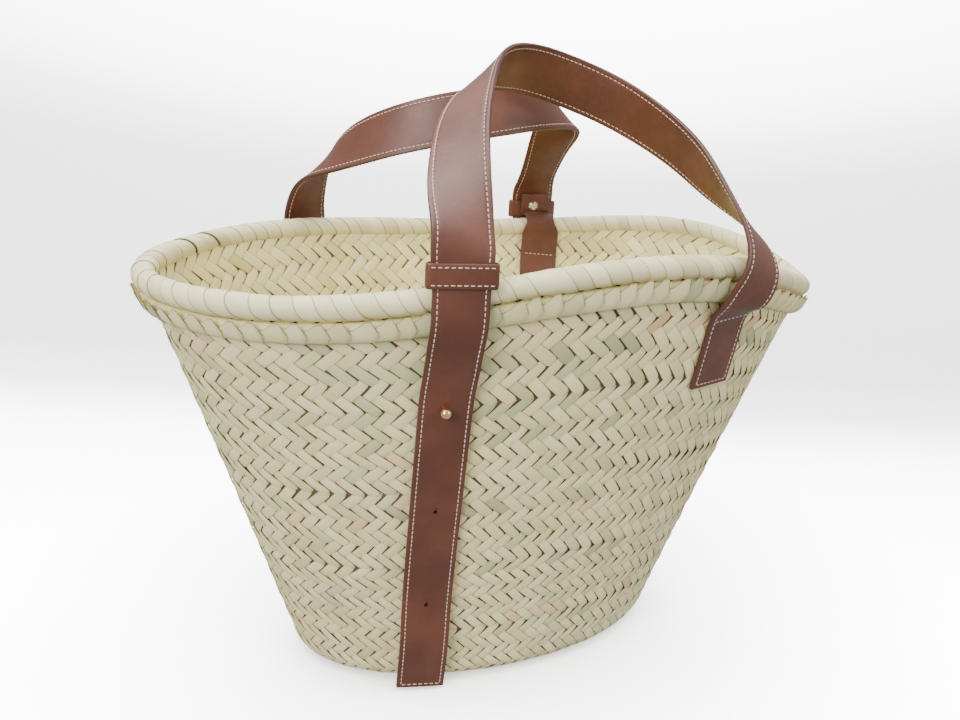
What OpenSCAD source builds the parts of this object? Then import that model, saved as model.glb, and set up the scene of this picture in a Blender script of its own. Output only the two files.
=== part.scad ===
// Woven market basket: an oval palm-leaf basket with two adjustable leather
// strap handles. The origin is the middle of the base, on the floor.
// +X runs along the mouth's long side, -Y is the front, +Z is up.

/* [Basket] */
// Half length of the mouth, to the middle of the rim roll
mouth_a = 268; // [225:1:322]
// Half width of the mouth, to the middle of the rim roll
mouth_b = 148; // [124:1:178]
// Half length of the base
base_a = 152; // [128:1:182]
// Half width of the base
base_b = 85; // [72:1:102]
// Height of the middle of the rim roll
rim_h = 314; // [262:1:377]
// Thickness of the plaited wall
wall_t = 5; // [4:0.5:6]
// Thickness of the base mat
mat_t = 6; // [5:0.5:8]
// Radius of the rounded foot
foot_r = 16; // [12:1:20]
// How far the mouth's middle sits to the right of the base's
mouth_dx = 10; // [-10:1:12]
// How far the mouth's middle sits behind the base's
mouth_dy = 6; // [-6:1:8]

/* [Rim] */
// Radius of the rim roll
roll_r = 8.5; // [7:0.5:10]
// Thickness of the leaf that wraps the roll
wrap_t = 1.8; // [1.5:0.1:2.5]
// Height of the folded band under the roll
band_h = 14; // [11:1:17]
// Thickness of the folded band
band_t = 7.5; // [6:0.5:9]
// How far the two ends of the rim dip
rim_sag = 8.5; // [0:0.5:10]
// Height of the rim's slow wave
rim_wave = 8.5; // [0:0.5:10]
// Height of the rim's short wave
rim_ripple = 4; // [0:0.5:5]

/* [Straps] */
// Width of the leather straps
strap_w = 40; // [34:1:46]
// Width of the strap below its keeper
strap_low_w = 36; // [32:0.5:40]
// Thickness of one layer of leather
leather_t = 1.6; // [1.3:0.1:2]
// Distance of the adjustable end from the mouth's middle, at the rim
strap_x_top = 97; // [82:1:110]
// Distance of the adjustable end from the base's middle, at the foot
strap_x_foot = 82; // [70:1:92]
// Distance of the sewn end from the mouth's middle
patch_x = 120; // [100:1:140]
// Length of the patch that is sewn to the wall
patch_len = 57; // [45:1:62]
// Height of the front arch above its hinge line
front_rise = 128; // [107:1:154]
// Height of the rear arch above its hinge line
rear_rise = 101; // [84:1:122]
// Spacing of the stud hole and the two spare holes
hole_pitch = 80; // [70:1:85]
// Diameter of the holes for the stud
hole_d = 5; // [4.4:0.1:6]

/* [Hardware] */
// Diameter of the stud's ball head
stud_d = 7.6; // [6.5:0.1:9]
// Diameter of the stud's neck
neck_d = 4; // [3:0.1:4.2]
// Diameter of the rivet cap
rivet_d = 9; // [7:0.1:10]
// Width of the inner tab below the rim
tab_w = 35; // [30:1:40]
// Length of the inner tab below the middle of the roll
tab_drop = 88; // [80:1:100]

/* [Hidden] */

straw = [0.86, 0.80, 0.64];
straw_dark = [0.78, 0.71, 0.53];
leather = [0.46, 0.27, 0.21];
lining = [0.36, 0.22, 0.16];
brass = [0.78, 0.62, 0.33];
nickel = [0.80, 0.80, 0.80];

front = -1;               // the side of a strap, as the sign of its Y
rear = 1;
stations = 72;            // steps round the basket
step = 360 / stations;
gap = 0.3;                // clearance between separate pieces
bond = 0.05;              // half the glue line between the two leathers
wave_turn = 20;           // where the rim's slow wave starts, in degrees
mouth_skew = 0.03;        // how much fuller the mouth is at its right end
course_h = [0, 0.17, 0.36, 0.57, 0.78, 1];   // course joints, as shares of the wall
joint_gap = 2.4;          // height of the laced joint between two courses
lace_r = 0.9;             // radius of the lacing cord
lace_sides = 5;
roll_sides = 12;
core_sides = 8;

wall_h = rim_h - roll_r - 0.5;
wall_a = mouth_a - 2;     // the wall's outer face, just under the roll
wall_b = mouth_b - 1;
strap_t = 2 * leather_t;
strap_off = roll_r + 0.8 + strap_t / 2;      // strap's middle, outside the roll's
flange_t = 1.2;           // the stud's foot, between wall and strap
wall_clear = flange_t + gap + strap_t / 2 + 0.1;
stud_drop = 76;           // the stud, below the middle of the roll
tail_hinge_drop = stud_drop + 11;
keeper_t = 2;
keeper_h = 16;
keeper_low = 7.5;         // the keeper's lower edge, above the middle of the roll
flex_up = 36;             // the arch's hinge, above the middle of the roll
flex_gap = 3.6;           // bare length each side of the arch's hinge
tail_gap = 2.2;           // bare length each side of the tail's hinge
patch_drop = 33;          // the patch's top edge, below the middle of the roll
tab_t = 2;
tab_clear = 1.9;          // between the wall and the tab, whose flat width spans its curve
tab_top_w = 26;
shank_d = 3;

// The front arch: share of the span, mm inwards and share of the rise, then
// the direction of the strap's width, as span, inwards and up.
FRONT_ARCH = [
    [0, 0, 0], [0.01, 39, 0.31], [0.06, 80, 0.61], [0.18, 124, 0.87],
    [0.37, 152, 0.99], [0.57, 153, 1], [0.73, 129, 0.94], [0.85, 87, 0.8],
    [0.92, 44, 0.61], [0.98, 8, 0.42], [1, -8, 0.24], [1, 0, 0]
];
FRONT_WIDTH = [
    [1, 0, 0], [0.8, -0.2, 0.6], [0.6, -0.6, 0.6], [0.3, -0.5, 0.8],
    [-0.1, -0.5, 0.9], [-0.1, -0.4, 0.9], [-0.2, -0.5, 0.9], [-0.2, -0.8, 0.5],
    [-0.4, -0.9, 0.2], [-0.9, -0.5, 0.1], [-1, -0.27, 0], [-1, 0, 0]
];
REAR_ARCH = [
    [0, 0, 0], [-0.02, 35, 0.39], [0.01, 79, 0.73], [0.15, 109, 0.89],
    [0.37, 118, 0.97], [0.56, 107, 1], [0.72, 80, 0.97], [0.84, 43, 0.87],
    [0.91, 15, 0.73], [0.95, -3, 0.52], [0.98, -9, 0.29], [1, 0, 0]
];
REAR_WIDTH = [
    [1, 0, 0], [0.9, 0, 0.4], [0.4, -0.4, 0.8], [0, -0.4, 0.9],
    [-0.1, -0.4, 0.9], [-0.1, -0.4, 0.9], [-0.2, -0.6, 0.8], [-0.6, -0.5, 0.6],
    [-0.9, -0.4, 0.2], [-0.9, -0.3, 0], [-1, -0.25, 0], [-1, 0, 0]
];

// ---- Plain vector and curve helpers ----
function unit(v) = v / norm(v);
function flat_across(v) = unit([-v.y, v.x, 0]);
function last(list) = list[len(list) - 1];
function clamp01(x) = min(1, max(0, x));

// One point of a smooth curve through four points, between p1 and p2.
function curve_pt(p0, p1, p2, p3, t) = 0.5 * (2 * p1 + (p2 - p0) * t
    + (2 * p0 - 5 * p1 + 4 * p2 - p3) * t * t + (3 * p1 - p0 - 3 * p2 + p3) * t * t * t);

// A smooth curve through a list of points, with n steps between each two.
function smooth(p, n) = let (e = concat([2 * p[0] - p[1]], p, [2 * last(p) - p[len(p) - 2]])) [
    for (i = [1 : len(p) - 1], j = [0 : n - 1]) curve_pt(e[i - 1], e[i], e[i + 1], e[i + 2], j / n),
    last(p)
];

// The direction of a path at each of its points.
function heading(p) = let (m = len(p) - 1) [
    for (i = [0 : m]) unit(p[min(i + 1, m)] - p[max(i - 1, 0)])
];

// ---- The shape of the basket ----
function rim_rise(th) = -rim_sag * cos(2 * th) + rim_wave * sin(3 * th - wave_turn)
    + rim_ripple * sin(4 * th);
function foot_inset(z) = z >= foot_r ? 0 : foot_r - sqrt(foot_r * foot_r - (foot_r - z) * (foot_r - z));

// A point of the wall at angle th and height share h, off outside its face.
function wall_pt(th, h, off) = let (
        grow = off - foot_inset(h * wall_h),
        a = base_a + (wall_a - base_a) * h + grow,
        b = base_b + (wall_b - base_b) * h + grow
    ) [
        mouth_dx * h + a * cos(th),
        mouth_dy * h + b * sin(th) * (1 + mouth_skew * h * cos(th)),
        h * (wall_h + rim_rise(th) * h)
    ];

// A point near the roll: out from its middle, and up.
function roll_pt(th, out, up) = [
    mouth_dx + (mouth_a + out) * cos(th),
    mouth_dy + (mouth_b + out) * sin(th) * (1 + mouth_skew * cos(th)),
    rim_h + rim_rise(th) + up
];

// The same places found by their distance x along the basket, on a side.
function side_th(side, x, a) = let (c = x / a) atan2(side * sqrt(1 - c * c), c);
function roll_side_pt(side, x, out, up) = let (th = side_th(side, x, mouth_a), p = roll_pt(th, 0, up))
    [mouth_dx + x, p.y + side * out, p.z];
function wall_side_pt(side, x, z, out) = let (
        h = clamp01(z / (wall_h + rim_rise(side_th(side, x, mouth_a)))),
        th = side_th(side, x, base_a + (wall_a - base_a) * h),
        p = wall_pt(th, h, 0)
    ) [mouth_dx * h + x, p.y + side * out, z];
function strap_x(side, z) = side * (strap_x_foot + (strap_x_top - strap_x_foot) * clamp01(z / rim_h));

// Directions along the rim and out of the wall at a strap.
function rim_along(side, x) = unit(roll_side_pt(side, x + 1, 0, 0) - roll_side_pt(side, x - 1, 0, 0));
function along(side, x) = let (v = rim_along(side, x)) -side * unit([v.x, v.y, 0]);
function roll_z(side, x) = roll_side_pt(side, x, 0, 0).z;

// ---- Solids made from rows of points ----
// Every row is one ring of m points, and the rows follow each other.
function side_faces(n, m, closed) = [
    for (i = [0 : n - (closed ? 1 : 2)], j = [0 : m - 1]) let (
        a = i * m, b = ((i + 1) % n) * m, k = (j + 1) % m
    ) each [[a + j, b + k, b + j], [a + j, a + k, b + k]]
];
// The same for a strap's four-cornered rings. The two faces of a layer are cut
// along the same diagonals, so that layers that touch fit each other where they twist.
function layer_faces(n) = [
    for (i = [0 : n - 2], j = [0 : 3]) let (a = i * 4, b = a + 4, k = (j + 1) % 4)
        each j == 1
            ? [[a + j, a + k, b + j], [a + k, b + k, b + j]]
            : [[a + j, b + k, b + j], [a + j, a + k, b + k]]
];
function end_faces(n, m) = [
    [for (j = [m - 1 : -1 : 0]) j],
    [for (j = [0 : m - 1]) (n - 1) * m + j]
];
module loop_solid(rows) {
    m = len(rows[0]);
    polyhedron([for (r = rows) each r], side_faces(len(rows), m, true), 4);
}
module bar_solid(rows) {
    m = len(rows[0]);
    polyhedron([for (r = rows) each r],
        concat(side_faces(len(rows), m, false), end_faces(len(rows), m)), 4);
}

// A strip of leather along a path: w is its width direction at each point,
// and it lies between lo and hi out of the path.
module strip(path, w, width, lo, hi) {
    t = heading(path);
    rows = [
        for (i = [0 : len(path) - 1]) let (
            n = unit(cross(w[i], t[i])),
            s = unit(cross(t[i], n)) * width[i] / 2,
            p = path[i]
        ) [p + s + n * lo, p + s + n * hi, p - s + n * hi, p - s + n * lo]
    ];
    // Trimming to a box that holds the whole basket settles which way the faces point.
    intersection() {
        cube(3000, center = true);
        polyhedron([for (r = rows) each r], concat(layer_faces(len(rows)), end_faces(len(rows), 4)), 4);
    }
}
function same(value, list) = [for (i = list) value];

// ---- Basket pieces ----
module base_mat() {
    color(straw_dark)
        linear_extrude(mat_t)
            polygon([for (i = [0 : stations - 1]) let (p = wall_pt(i * step, 0, -wall_t - gap)) [p.x, p.y]]);
}

module wall_course(k) {
    low = course_h[k] + (k == 0 ? 0 : joint_gap / 2 / wall_h);
    high = course_h[k + 1] - (k == len(course_h) - 2 ? 0 : joint_gap / 2 / wall_h);
    foot = [for (z = [0, 1.5, 5, 10]) z / wall_h];
    up = k == 0 ? concat(foot, [foot_r / wall_h, high]) : [low, high];
    down = [for (i = [len(up) - 1 : -1 : 0]) up[i]];
    loop_solid([
        for (i = [0 : stations - 1]) concat(
            [for (h = up) wall_pt(i * step, h, 0)],
            [for (h = down) wall_pt(i * step, h, -wall_t)]
        )
    ]);
}

// The shank of each stud passes through the wall, the strap and the tab.
module shank_holes(d) {
    for (side = [front, rear]) at_stud(side) translate([0, 0, -30]) cylinder(d = d, h = 50, $fn = 24);
}

module wall_course_1() color(straw) wall_course(0);
module wall_course_2() color(straw) wall_course(1);
module wall_course_3() color(straw) wall_course(2);
module wall_course_4() color(straw) difference() {
    wall_course(3);
    shank_holes(shank_d + gap);
}
module wall_course_5() color(straw) difference() {
    wall_course(4);
    shank_holes(shank_d + gap);
}

module plait_lacing() {
    color(straw_dark) difference() {
        lacing_rings();
        shank_holes(shank_d + gap);
    }
}
module lacing_rings() {
    for (k = [1 : len(course_h) - 2]) loop_solid([
        for (i = [0 : stations - 1]) let (
            p = wall_pt(i * step, course_h[k], -wall_t / 2),
            out = unit(wall_pt(i * step, course_h[k], 0) - wall_pt(i * step, course_h[k], -wall_t))
        ) [for (j = [0 : lace_sides - 1]) let (q = j * 360 / lace_sides)
            p + lace_r * (out * cos(q) + [0, 0, sin(q)])]
    ]);
}

function roll_ring(th, r, sides) = [
    for (j = [0 : sides - 1]) let (q = j * 360 / sides) roll_pt(th, r * cos(q), r * sin(q))
];

module rim_core() color(straw_dark) loop_solid([
    for (i = [0 : stations - 1]) let (r = roll_ring(i * step, roll_r - wrap_t - gap, core_sides)) r
]);

module rim_wrap() color(straw) difference() {
    loop_solid([for (i = [0 : stations - 1]) roll_ring(i * step, roll_r, roll_sides)]);
    loop_solid([for (i = [0 : stations - 1]) roll_ring(i * step, roll_r - wrap_t, roll_sides)]);
}

// The folded band hugs the wall's outer face, under the roll.
module rim_band() {
    profile = [[1, 0], [1, band_t * 0.55], [0.5, band_t], [0.12, band_t * 0.8],
        [0, band_t * 0.35], [0, 0]];   // share of the height down, and thickness
    color(straw) loop_solid([
        for (i = [0 : stations - 1]) [
            for (q = profile) wall_pt(i * step, 1 - q[0] * band_h / wall_h, gap + q[1])
        ]
    ]);
}

// ---- Strap paths, from the free end up over the rim and round to the patch ----
function keeper_x(side) = side * strap_x_top;
function keeper_z(side) = roll_z(side, keeper_x(side));
function run_pt(side, drop, clear) = let (z = keeper_z(side) - drop)
    wall_side_pt(side, strap_x(side, z), z, clear);
function rim_pt(side, drop) = roll_side_pt(side, keeper_x(side), strap_off, -drop);

// Where the arch turns: over the keeper, and at the top of the patch.
function keeper_flex(side) = roll_side_pt(side, keeper_x(side), strap_off, flex_up);
function patch_pt(side, drop, clear) = let (x = -side * patch_x)
    wall_side_pt(side, x, roll_z(side, x) - patch_drop - drop, clear);
function patch_flex(side) = patch_pt(side, -5, wall_clear + 11);

// The leather lies level along the rim but turns to the hinge line at its ends.
function hinge_dir(side) = unit(patch_flex(side) - keeper_flex(side));

// The hanging tail: how far it is below the roll, and clear of the wall.
tail_foot = 4;
function tail_len(side) = keeper_z(side) - tail_foot;
function tail_path(side) = smooth([
    for (q = [[1, 15], [0.87, 10], [0.76, 6.5], [0.62, 5], [0.46, 4.5]])
        run_pt(side, tail_len(side) * q[0], wall_clear + q[1] - 4),
    run_pt(side, tail_hinge_drop + 20, wall_clear + 0.2),
    run_pt(side, tail_hinge_drop + tail_gap, wall_clear)
], 3);
function run_path(side) = concat(smooth([
    run_pt(side, tail_hinge_drop - tail_gap, wall_clear),
    run_pt(side, stud_drop, wall_clear),
    run_pt(side, stud_drop - 12, wall_clear + 0.4),
    run_pt(side, 50, wall_clear + 4),
    rim_pt(side, 33) + [0, -side * 6, 0],
    rim_pt(side, 18),
    rim_pt(side, 2),
    rim_pt(side, -keeper_low - keeper_h - 1)
], 3), [
    rim_pt(side, -flex_up + 8),
    rim_pt(side, -flex_up + flex_gap)
]);
// It widens where it comes out of the keeper.
function run_widths(side) = [for (p = run_path(side)) let (q = (p.z - keeper_z(side) - 5) / 25)
    strap_low_w + (strap_w - strap_low_w) * min(1, max(0, q))];
function run_width(side) = let (n = len(run_path(side)), u = along(side, keeper_x(side))) [
    for (i = [0 : n - 1]) i == n - 1 ? hinge_dir(side) : i == n - 2 ? unit(u + hinge_dir(side)) : u
];

// The arch, in a frame on its hinge line: along, inwards and up.
function arch_frame(side) = let (
        x = hinge_dir(side), y = unit(cross([0, 0, 1], x)), z = cross(x, y)
    ) [x, y, z];
function arch_list(side) = side == front ? FRONT_ARCH : REAR_ARCH;
function arch_rise(side) = side == front ? front_rise : rear_rise;
function arch_path(side) = let (
        f = arch_frame(side),
        o = keeper_flex(side),
        span = norm(patch_flex(side) - o),
        pts = smooth([for (q = arch_list(side)) [q.x * span, q.y, q.z * arch_rise(side)]], 4),
        n = len(pts) - 1,
        place = [for (p = pts) o + f[0] * p.x + f[1] * p.y + f[2] * p.z]
    ) [for (i = [0 : n])
        i == 0 ? place[0] + flex_gap * unit(place[1] - place[0])
        : i == n ? place[n] + flex_gap * unit(place[n - 1] - place[n]) : place[i]];
function arch_width(side) = let (
        f = arch_frame(side),
        w = smooth(side == front ? FRONT_WIDTH : REAR_WIDTH, 4)
    ) [for (v = w) unit(f[0] * v.x + f[1] * v.y + f[2] * v.z)];

function patch_path(side) = [
    patch_flex(side) + flex_gap * unit(patch_pt(side, 0, wall_clear) - patch_flex(side)),
    patch_pt(side, 0, wall_clear),
    patch_pt(side, patch_len / 2, wall_clear),
    patch_pt(side, patch_len, wall_clear)
];
function patch_width(side) = let (u = -along(side, -side * patch_x)) [-hinge_dir(side), u, u, u];

// ---- Strap pieces: layer 1 is the outer leather, layer -1 the lining ----
function layer_lo(layer) = layer > 0 ? bond : -leather_t;
function layer_hi(layer) = layer > 0 ? leather_t : -bond;
function layer_tint(layer) = layer > 0 ? leather : lining;

module arch(side, layer) {
    p = arch_path(side);
    color(layer_tint(layer)) strip(p, arch_width(side), same(strap_w, p), layer_lo(layer), layer_hi(layer));
}
module run(side, layer) {
    p = run_path(side);
    color(layer_tint(layer)) difference() {
        strip(p, run_width(side), run_widths(side), layer_lo(layer), layer_hi(layer));
        at_stud(side) translate([0, 0, -10]) cylinder(d = hole_d, h = 20, $fn = 24);
    }
}
module patch(side, layer) {
    p = patch_path(side);
    color(layer_tint(layer)) strip(p, patch_width(side), same(strap_w, p), layer_lo(layer), layer_hi(layer));
}
module tail(side, layer) {
    p = tail_path(side);
    color(layer_tint(layer)) difference() {
        strip(p, same(along(side, keeper_x(side)), p), same(strap_low_w, p), layer_lo(layer), layer_hi(layer));
        for (k = [1, 2]) at_hole(side, k) translate([0, 0, -20]) cylinder(d = hole_d, h = 40, $fn = 24);
    }
}

// ---- Hardware ----
// Local axes at a strap: X along it, Y up and Z out of the wall.
module at_pose(p, out) {
    x = unit(cross([0, 0, 1], out));
    y = cross(out, x);
    multmatrix([
        [x.x, y.x, out.x, p.x],
        [x.y, y.y, out.y, p.y],
        [x.z, y.z, out.z, p.z],
        [0, 0, 0, 1]
    ]) children();
}
function level_out(side) = let (u = along(side, keeper_x(side))) unit(cross(u, [0, 0, 1]));
function wall_out(side, drop) = let (
        up = unit(run_pt(side, drop - 8, 0) - run_pt(side, drop + 8, 0))
    ) unit(cross(along(side, keeper_x(side)), up));
// The stud's frame starts on the wall's outer face.
module at_stud(side) at_pose(run_pt(side, stud_drop, 0), wall_out(side, stud_drop)) children();
module at_hole(side, k) at_pose(run_pt(side, stud_drop + k * hole_pitch, 0), wall_out(side, stud_drop)) children();

module stud(side) {
    neck_h = flange_t + gap + strap_t + 1.5;
    color(brass) at_stud(side) difference() {
        union() {
            translate([0, 0, 0.15]) cylinder(d = stud_d + 3, h = flange_t, $fn = 48);
            translate([0, 0, 0.15]) cylinder(d = neck_d, h = neck_h, $fn = 48);
            translate([0, 0, neck_h + stud_d / 2 - 1]) sphere(d = stud_d, $fn = 48);
        }
        translate([0, 0, -1]) cylinder(d = shank_d - 1 + 0.1, h = neck_h, $fn = 24);
    }
}
module stud_screw(side) {
    inner = -wall_t - tab_t - tab_clear - 0.5;
    color(brass) at_stud(side) {
        translate([0, 0, inner - 1.2]) cylinder(d = stud_d + 2, h = 1.2, $fn = 48);
        translate([0, 0, inner]) cylinder(d = shank_d - 1, h = -inner + flange_t + 2, $fn = 24);
    }
}

module keeper(side) {
    cavity = strap_t + 1.0;
    color(leather) at_pose(roll_side_pt(side, keeper_x(side), strap_off, keeper_low), level_out(side))
        difference() {
            translate([-strap_w / 2 - 2.6, 0, -cavity / 2 - keeper_t])
                cube([strap_w + 5.2, keeper_h, cavity + 2 * keeper_t]);
            translate([-strap_w / 2 - 0.6, -1, -cavity / 2]) cube([strap_w + 1.2, keeper_h + 2, cavity]);
            translate([0, keeper_h / 2 + 3, -cavity / 2 - keeper_t - 1])
                cylinder(d = shank_d + 0.2, h = keeper_t + 2, $fn = 24);
        }
}

// The tab climbs the inside of the wall, bends over the roll and backs the keeper.
function tab_back() = strap_off - (strap_t + 1.0) / 2 - keeper_t - 0.3 - tab_t / 2;
function tab_path(side) = let (x = keeper_x(side), reach = tab_t / 2 + gap, c = wall_t + tab_t / 2 + tab_clear + 0.2) smooth([
    run_pt(side, tab_drop, -c),
    run_pt(side, stud_drop, -c),
    run_pt(side, 50, -c),
    run_pt(side, 28, -c),
    roll_side_pt(side, x, -roll_r - reach - 1.2, -9),
    roll_side_pt(side, x, -roll_r - reach - 0.9, 0),
    roll_side_pt(side, x, -roll_r * 0.95 - reach, 7),
    roll_side_pt(side, x, -roll_r * 0.35 - reach, 11.5),
    roll_side_pt(side, x, tab_back() - 0.4, 13),
    roll_side_pt(side, x, tab_back(), 17),
    roll_side_pt(side, x, tab_back(), 30)
], 2);
module inner_tab(side) {
    p = tab_path(side);
    n = len(p) - 1;
    w = [for (i = [0 : n]) p[i].z > keeper_z(side) + 4 ? tab_top_w : tab_w];
    color(leather) difference() {
        strip(p, same(along(side, keeper_x(side)), p), w, -tab_t / 2, tab_t / 2);
        at_stud(side) translate([0, 0, -20]) cylinder(d = shank_d + gap, h = 30, $fn = 24);
        at_rivet(side) translate([0, 0, -10]) cylinder(d = shank_d + 0.2, h = 30, $fn = 24);
    }
}
module at_rivet(side)
    at_pose(roll_side_pt(side, keeper_x(side), strap_off, keeper_low), level_out(side))
        translate([0, keeper_h / 2 + 3, -strap_off]) children();
module rivet(side) {
    tab_face = tab_back() - tab_t / 2;
    head = strap_off - (strap_t + 1.0) / 2;
    color(nickel) at_rivet(side) {
        translate([0, 0, tab_face - 1.4]) cylinder(d1 = rivet_d - 3, d2 = rivet_d, h = 1.3, $fn = 48);
        translate([0, 0, tab_face - 0.2]) cylinder(d = shank_d, h = head - tab_face + 0.4, $fn = 24);
    }
}

module front_keeper() keeper(front);
module front_inner_tab() inner_tab(front);
module front_rivet() rivet(front);
module front_stud() stud(front);
module front_stud_screw() stud_screw(front);
module front_run_outer() run(front, 1);
module front_run_lining() run(front, -1);
module front_patch_outer() patch(front, 1);
module front_patch_lining() patch(front, -1);
module front_arch_outer() arch(front, 1);
module front_arch_lining() arch(front, -1);
module front_tail_outer() tail(front, 1);
module front_tail_lining() tail(front, -1);
module rear_keeper() keeper(rear);
module rear_inner_tab() inner_tab(rear);
module rear_rivet() rivet(rear);
module rear_stud() stud(rear);
module rear_stud_screw() stud_screw(rear);
module rear_run_outer() run(rear, 1);
module rear_run_lining() run(rear, -1);
module rear_patch_outer() patch(rear, 1);
module rear_patch_lining() patch(rear, -1);
module rear_arch_outer() arch(rear, 1);
module rear_arch_lining() arch(rear, -1);
module rear_tail_outer() tail(rear, 1);
module rear_tail_lining() tail(rear, -1);

base_mat();
wall_course_1();
wall_course_2();
wall_course_3();
wall_course_4();
wall_course_5();
plait_lacing();
rim_core();
rim_wrap();
rim_band();
front_keeper();
front_inner_tab();
front_rivet();
front_stud();
front_stud_screw();
front_run_outer();
front_run_lining();
front_patch_outer();
front_patch_lining();
front_arch_outer();
front_arch_lining();
front_tail_outer();
front_tail_lining();
rear_keeper();
rear_inner_tab();
rear_rivet();
rear_stud();
rear_stud_screw();
rear_run_outer();
rear_run_lining();
rear_patch_outer();
rear_patch_lining();
rear_arch_outer();
rear_arch_lining();
rear_tail_outer();
rear_tail_lining();
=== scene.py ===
import logging
import math
from dataclasses import dataclass, field
from enum import Enum
from typing import Any, Callable, Iterable, Sequence

import bpy
import numpy as np
from mathutils import Matrix, Vector


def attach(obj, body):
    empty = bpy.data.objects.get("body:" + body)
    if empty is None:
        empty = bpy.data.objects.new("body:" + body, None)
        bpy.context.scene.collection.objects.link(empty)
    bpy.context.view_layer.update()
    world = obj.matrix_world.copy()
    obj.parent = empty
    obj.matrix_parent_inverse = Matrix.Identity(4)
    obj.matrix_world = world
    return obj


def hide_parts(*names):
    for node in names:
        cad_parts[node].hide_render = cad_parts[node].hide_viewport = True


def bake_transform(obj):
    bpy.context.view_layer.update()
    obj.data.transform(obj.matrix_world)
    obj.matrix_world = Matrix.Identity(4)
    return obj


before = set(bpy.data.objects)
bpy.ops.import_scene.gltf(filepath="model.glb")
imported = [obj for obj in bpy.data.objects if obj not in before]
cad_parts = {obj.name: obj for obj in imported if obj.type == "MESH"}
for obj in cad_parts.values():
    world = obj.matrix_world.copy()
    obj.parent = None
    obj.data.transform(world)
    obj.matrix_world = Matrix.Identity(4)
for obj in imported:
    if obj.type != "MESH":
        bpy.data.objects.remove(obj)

log = logging.getLogger("basket")
MM = 0.001
Colour = tuple[float, float, float]
UP = np.array([0.0, 0.0, 1.0])


class Side(Enum):
    """Which long side of the basket a strap is sewn to, as the sign of its Y."""

    FRONT = -1
    REAR = 1

    @property
    def label(self) -> str:
        """The side's name, as the frame's nodes and bodies spell it."""
        return self.name.lower()


# ---------------------------------------------------------------- small tools


def unit(v: np.ndarray) -> np.ndarray:
    """The vectors in v, each made one long."""
    return v / np.maximum(np.linalg.norm(v, axis=-1, keepdims=True), 1e-12)


def smooth(points: Sequence[Sequence[float]], steps: int) -> np.ndarray:
    """A smooth curve through a list of points.

    Args:
        points: the points, in order.
        steps: how many stretches lie between each two points.

    Returns:
        The curve's points, the first and the last of the list among them.
    """
    p = np.asarray(points, float)
    e = np.vstack([2 * p[0] - p[1], p, 2 * p[-1] - p[-2]])
    rows = []
    for i in range(1, len(p)):
        p0, p1, p2, p3 = e[i - 1], e[i], e[i + 1], e[i + 2]
        for t in np.arange(steps) / steps:
            rows.append(
                0.5 * (2 * p1 + (p2 - p0) * t + (2 * p0 - 5 * p1 + 4 * p2 - p3) * t * t
                       + (3 * p1 - p0 - 3 * p2 + p3) * t ** 3)
            )
    rows.append(p[-1])
    return np.array(rows)


def new_piece(name: str, verts: np.ndarray, faces: Iterable[Sequence[int]]) -> bpy.types.Object:
    """Makes a mesh object.

    Args:
        name: the piece's name.
        verts: its vertices, in metres.
        faces: its faces, as lists of vertex numbers.

    Returns:
        The object, in the scene and at the origin.
    """
    mesh = bpy.data.meshes.new(name)
    mesh.from_pydata([tuple(v) for v in verts], [], [tuple(f) for f in faces])
    mesh.update()
    piece = bpy.data.objects.new(name, mesh)
    bpy.context.scene.collection.objects.link(piece)
    return piece


def note(piece: bpy.types.Object, name: str, values: np.ndarray) -> None:
    """Stores one number or one vector per vertex under a name."""
    kind = "FLOAT_VECTOR" if values.ndim == 2 else "FLOAT"
    layer = piece.data.attributes.new(name, kind, "POINT")
    layer.data.foreach_set("vector" if values.ndim == 2 else "value", values.astype(np.float32).ravel())


def places(piece: bpy.types.Object) -> np.ndarray:
    """A mesh object's vertices, one row each."""
    flat = np.zeros(len(piece.data.vertices) * 3, np.float32)
    piece.data.vertices.foreach_get("co", flat)
    return flat.reshape(-1, 3).astype(float)


def put(piece: bpy.types.Object, verts: np.ndarray) -> None:
    """Moves a mesh object's vertices to new places."""
    piece.data.vertices.foreach_set("co", verts.astype(np.float32).ravel())
    piece.data.update()


def smooth_shading(piece: bpy.types.Object, sharp_degrees: float = 50.0) -> None:
    """Shades a piece smoothly, except over edges that turn more than a given angle."""
    piece.data.shade_smooth()
    piece.data.set_sharp_from_angle(angle=math.radians(sharp_degrees))


def dress(piece: bpy.types.Object, *finishes: bpy.types.Material) -> None:
    """Gives a piece its materials, in the order of its faces' numbers."""
    piece.data.materials.clear()
    for finish in finishes:
        piece.data.materials.append(finish)


def joined(name: str, parts: Sequence[bpy.types.Object]) -> bpy.types.Object:
    """Makes several mesh objects into one.

    Args:
        name: the name of the result.
        parts: the objects; the first one keeps its place in the scene.

    Returns:
        The one object, with the materials of all its parts.
    """
    bpy.ops.object.select_all(action="DESELECT")
    for part in parts:
        part.select_set(True)
    bpy.context.view_layer.objects.active = parts[0]
    if len(parts) > 1:
        bpy.ops.object.join()
    parts[0].name = name
    parts[0].data.name = name
    return parts[0]


# ---------------------------------------------------------------- node trees


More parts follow.
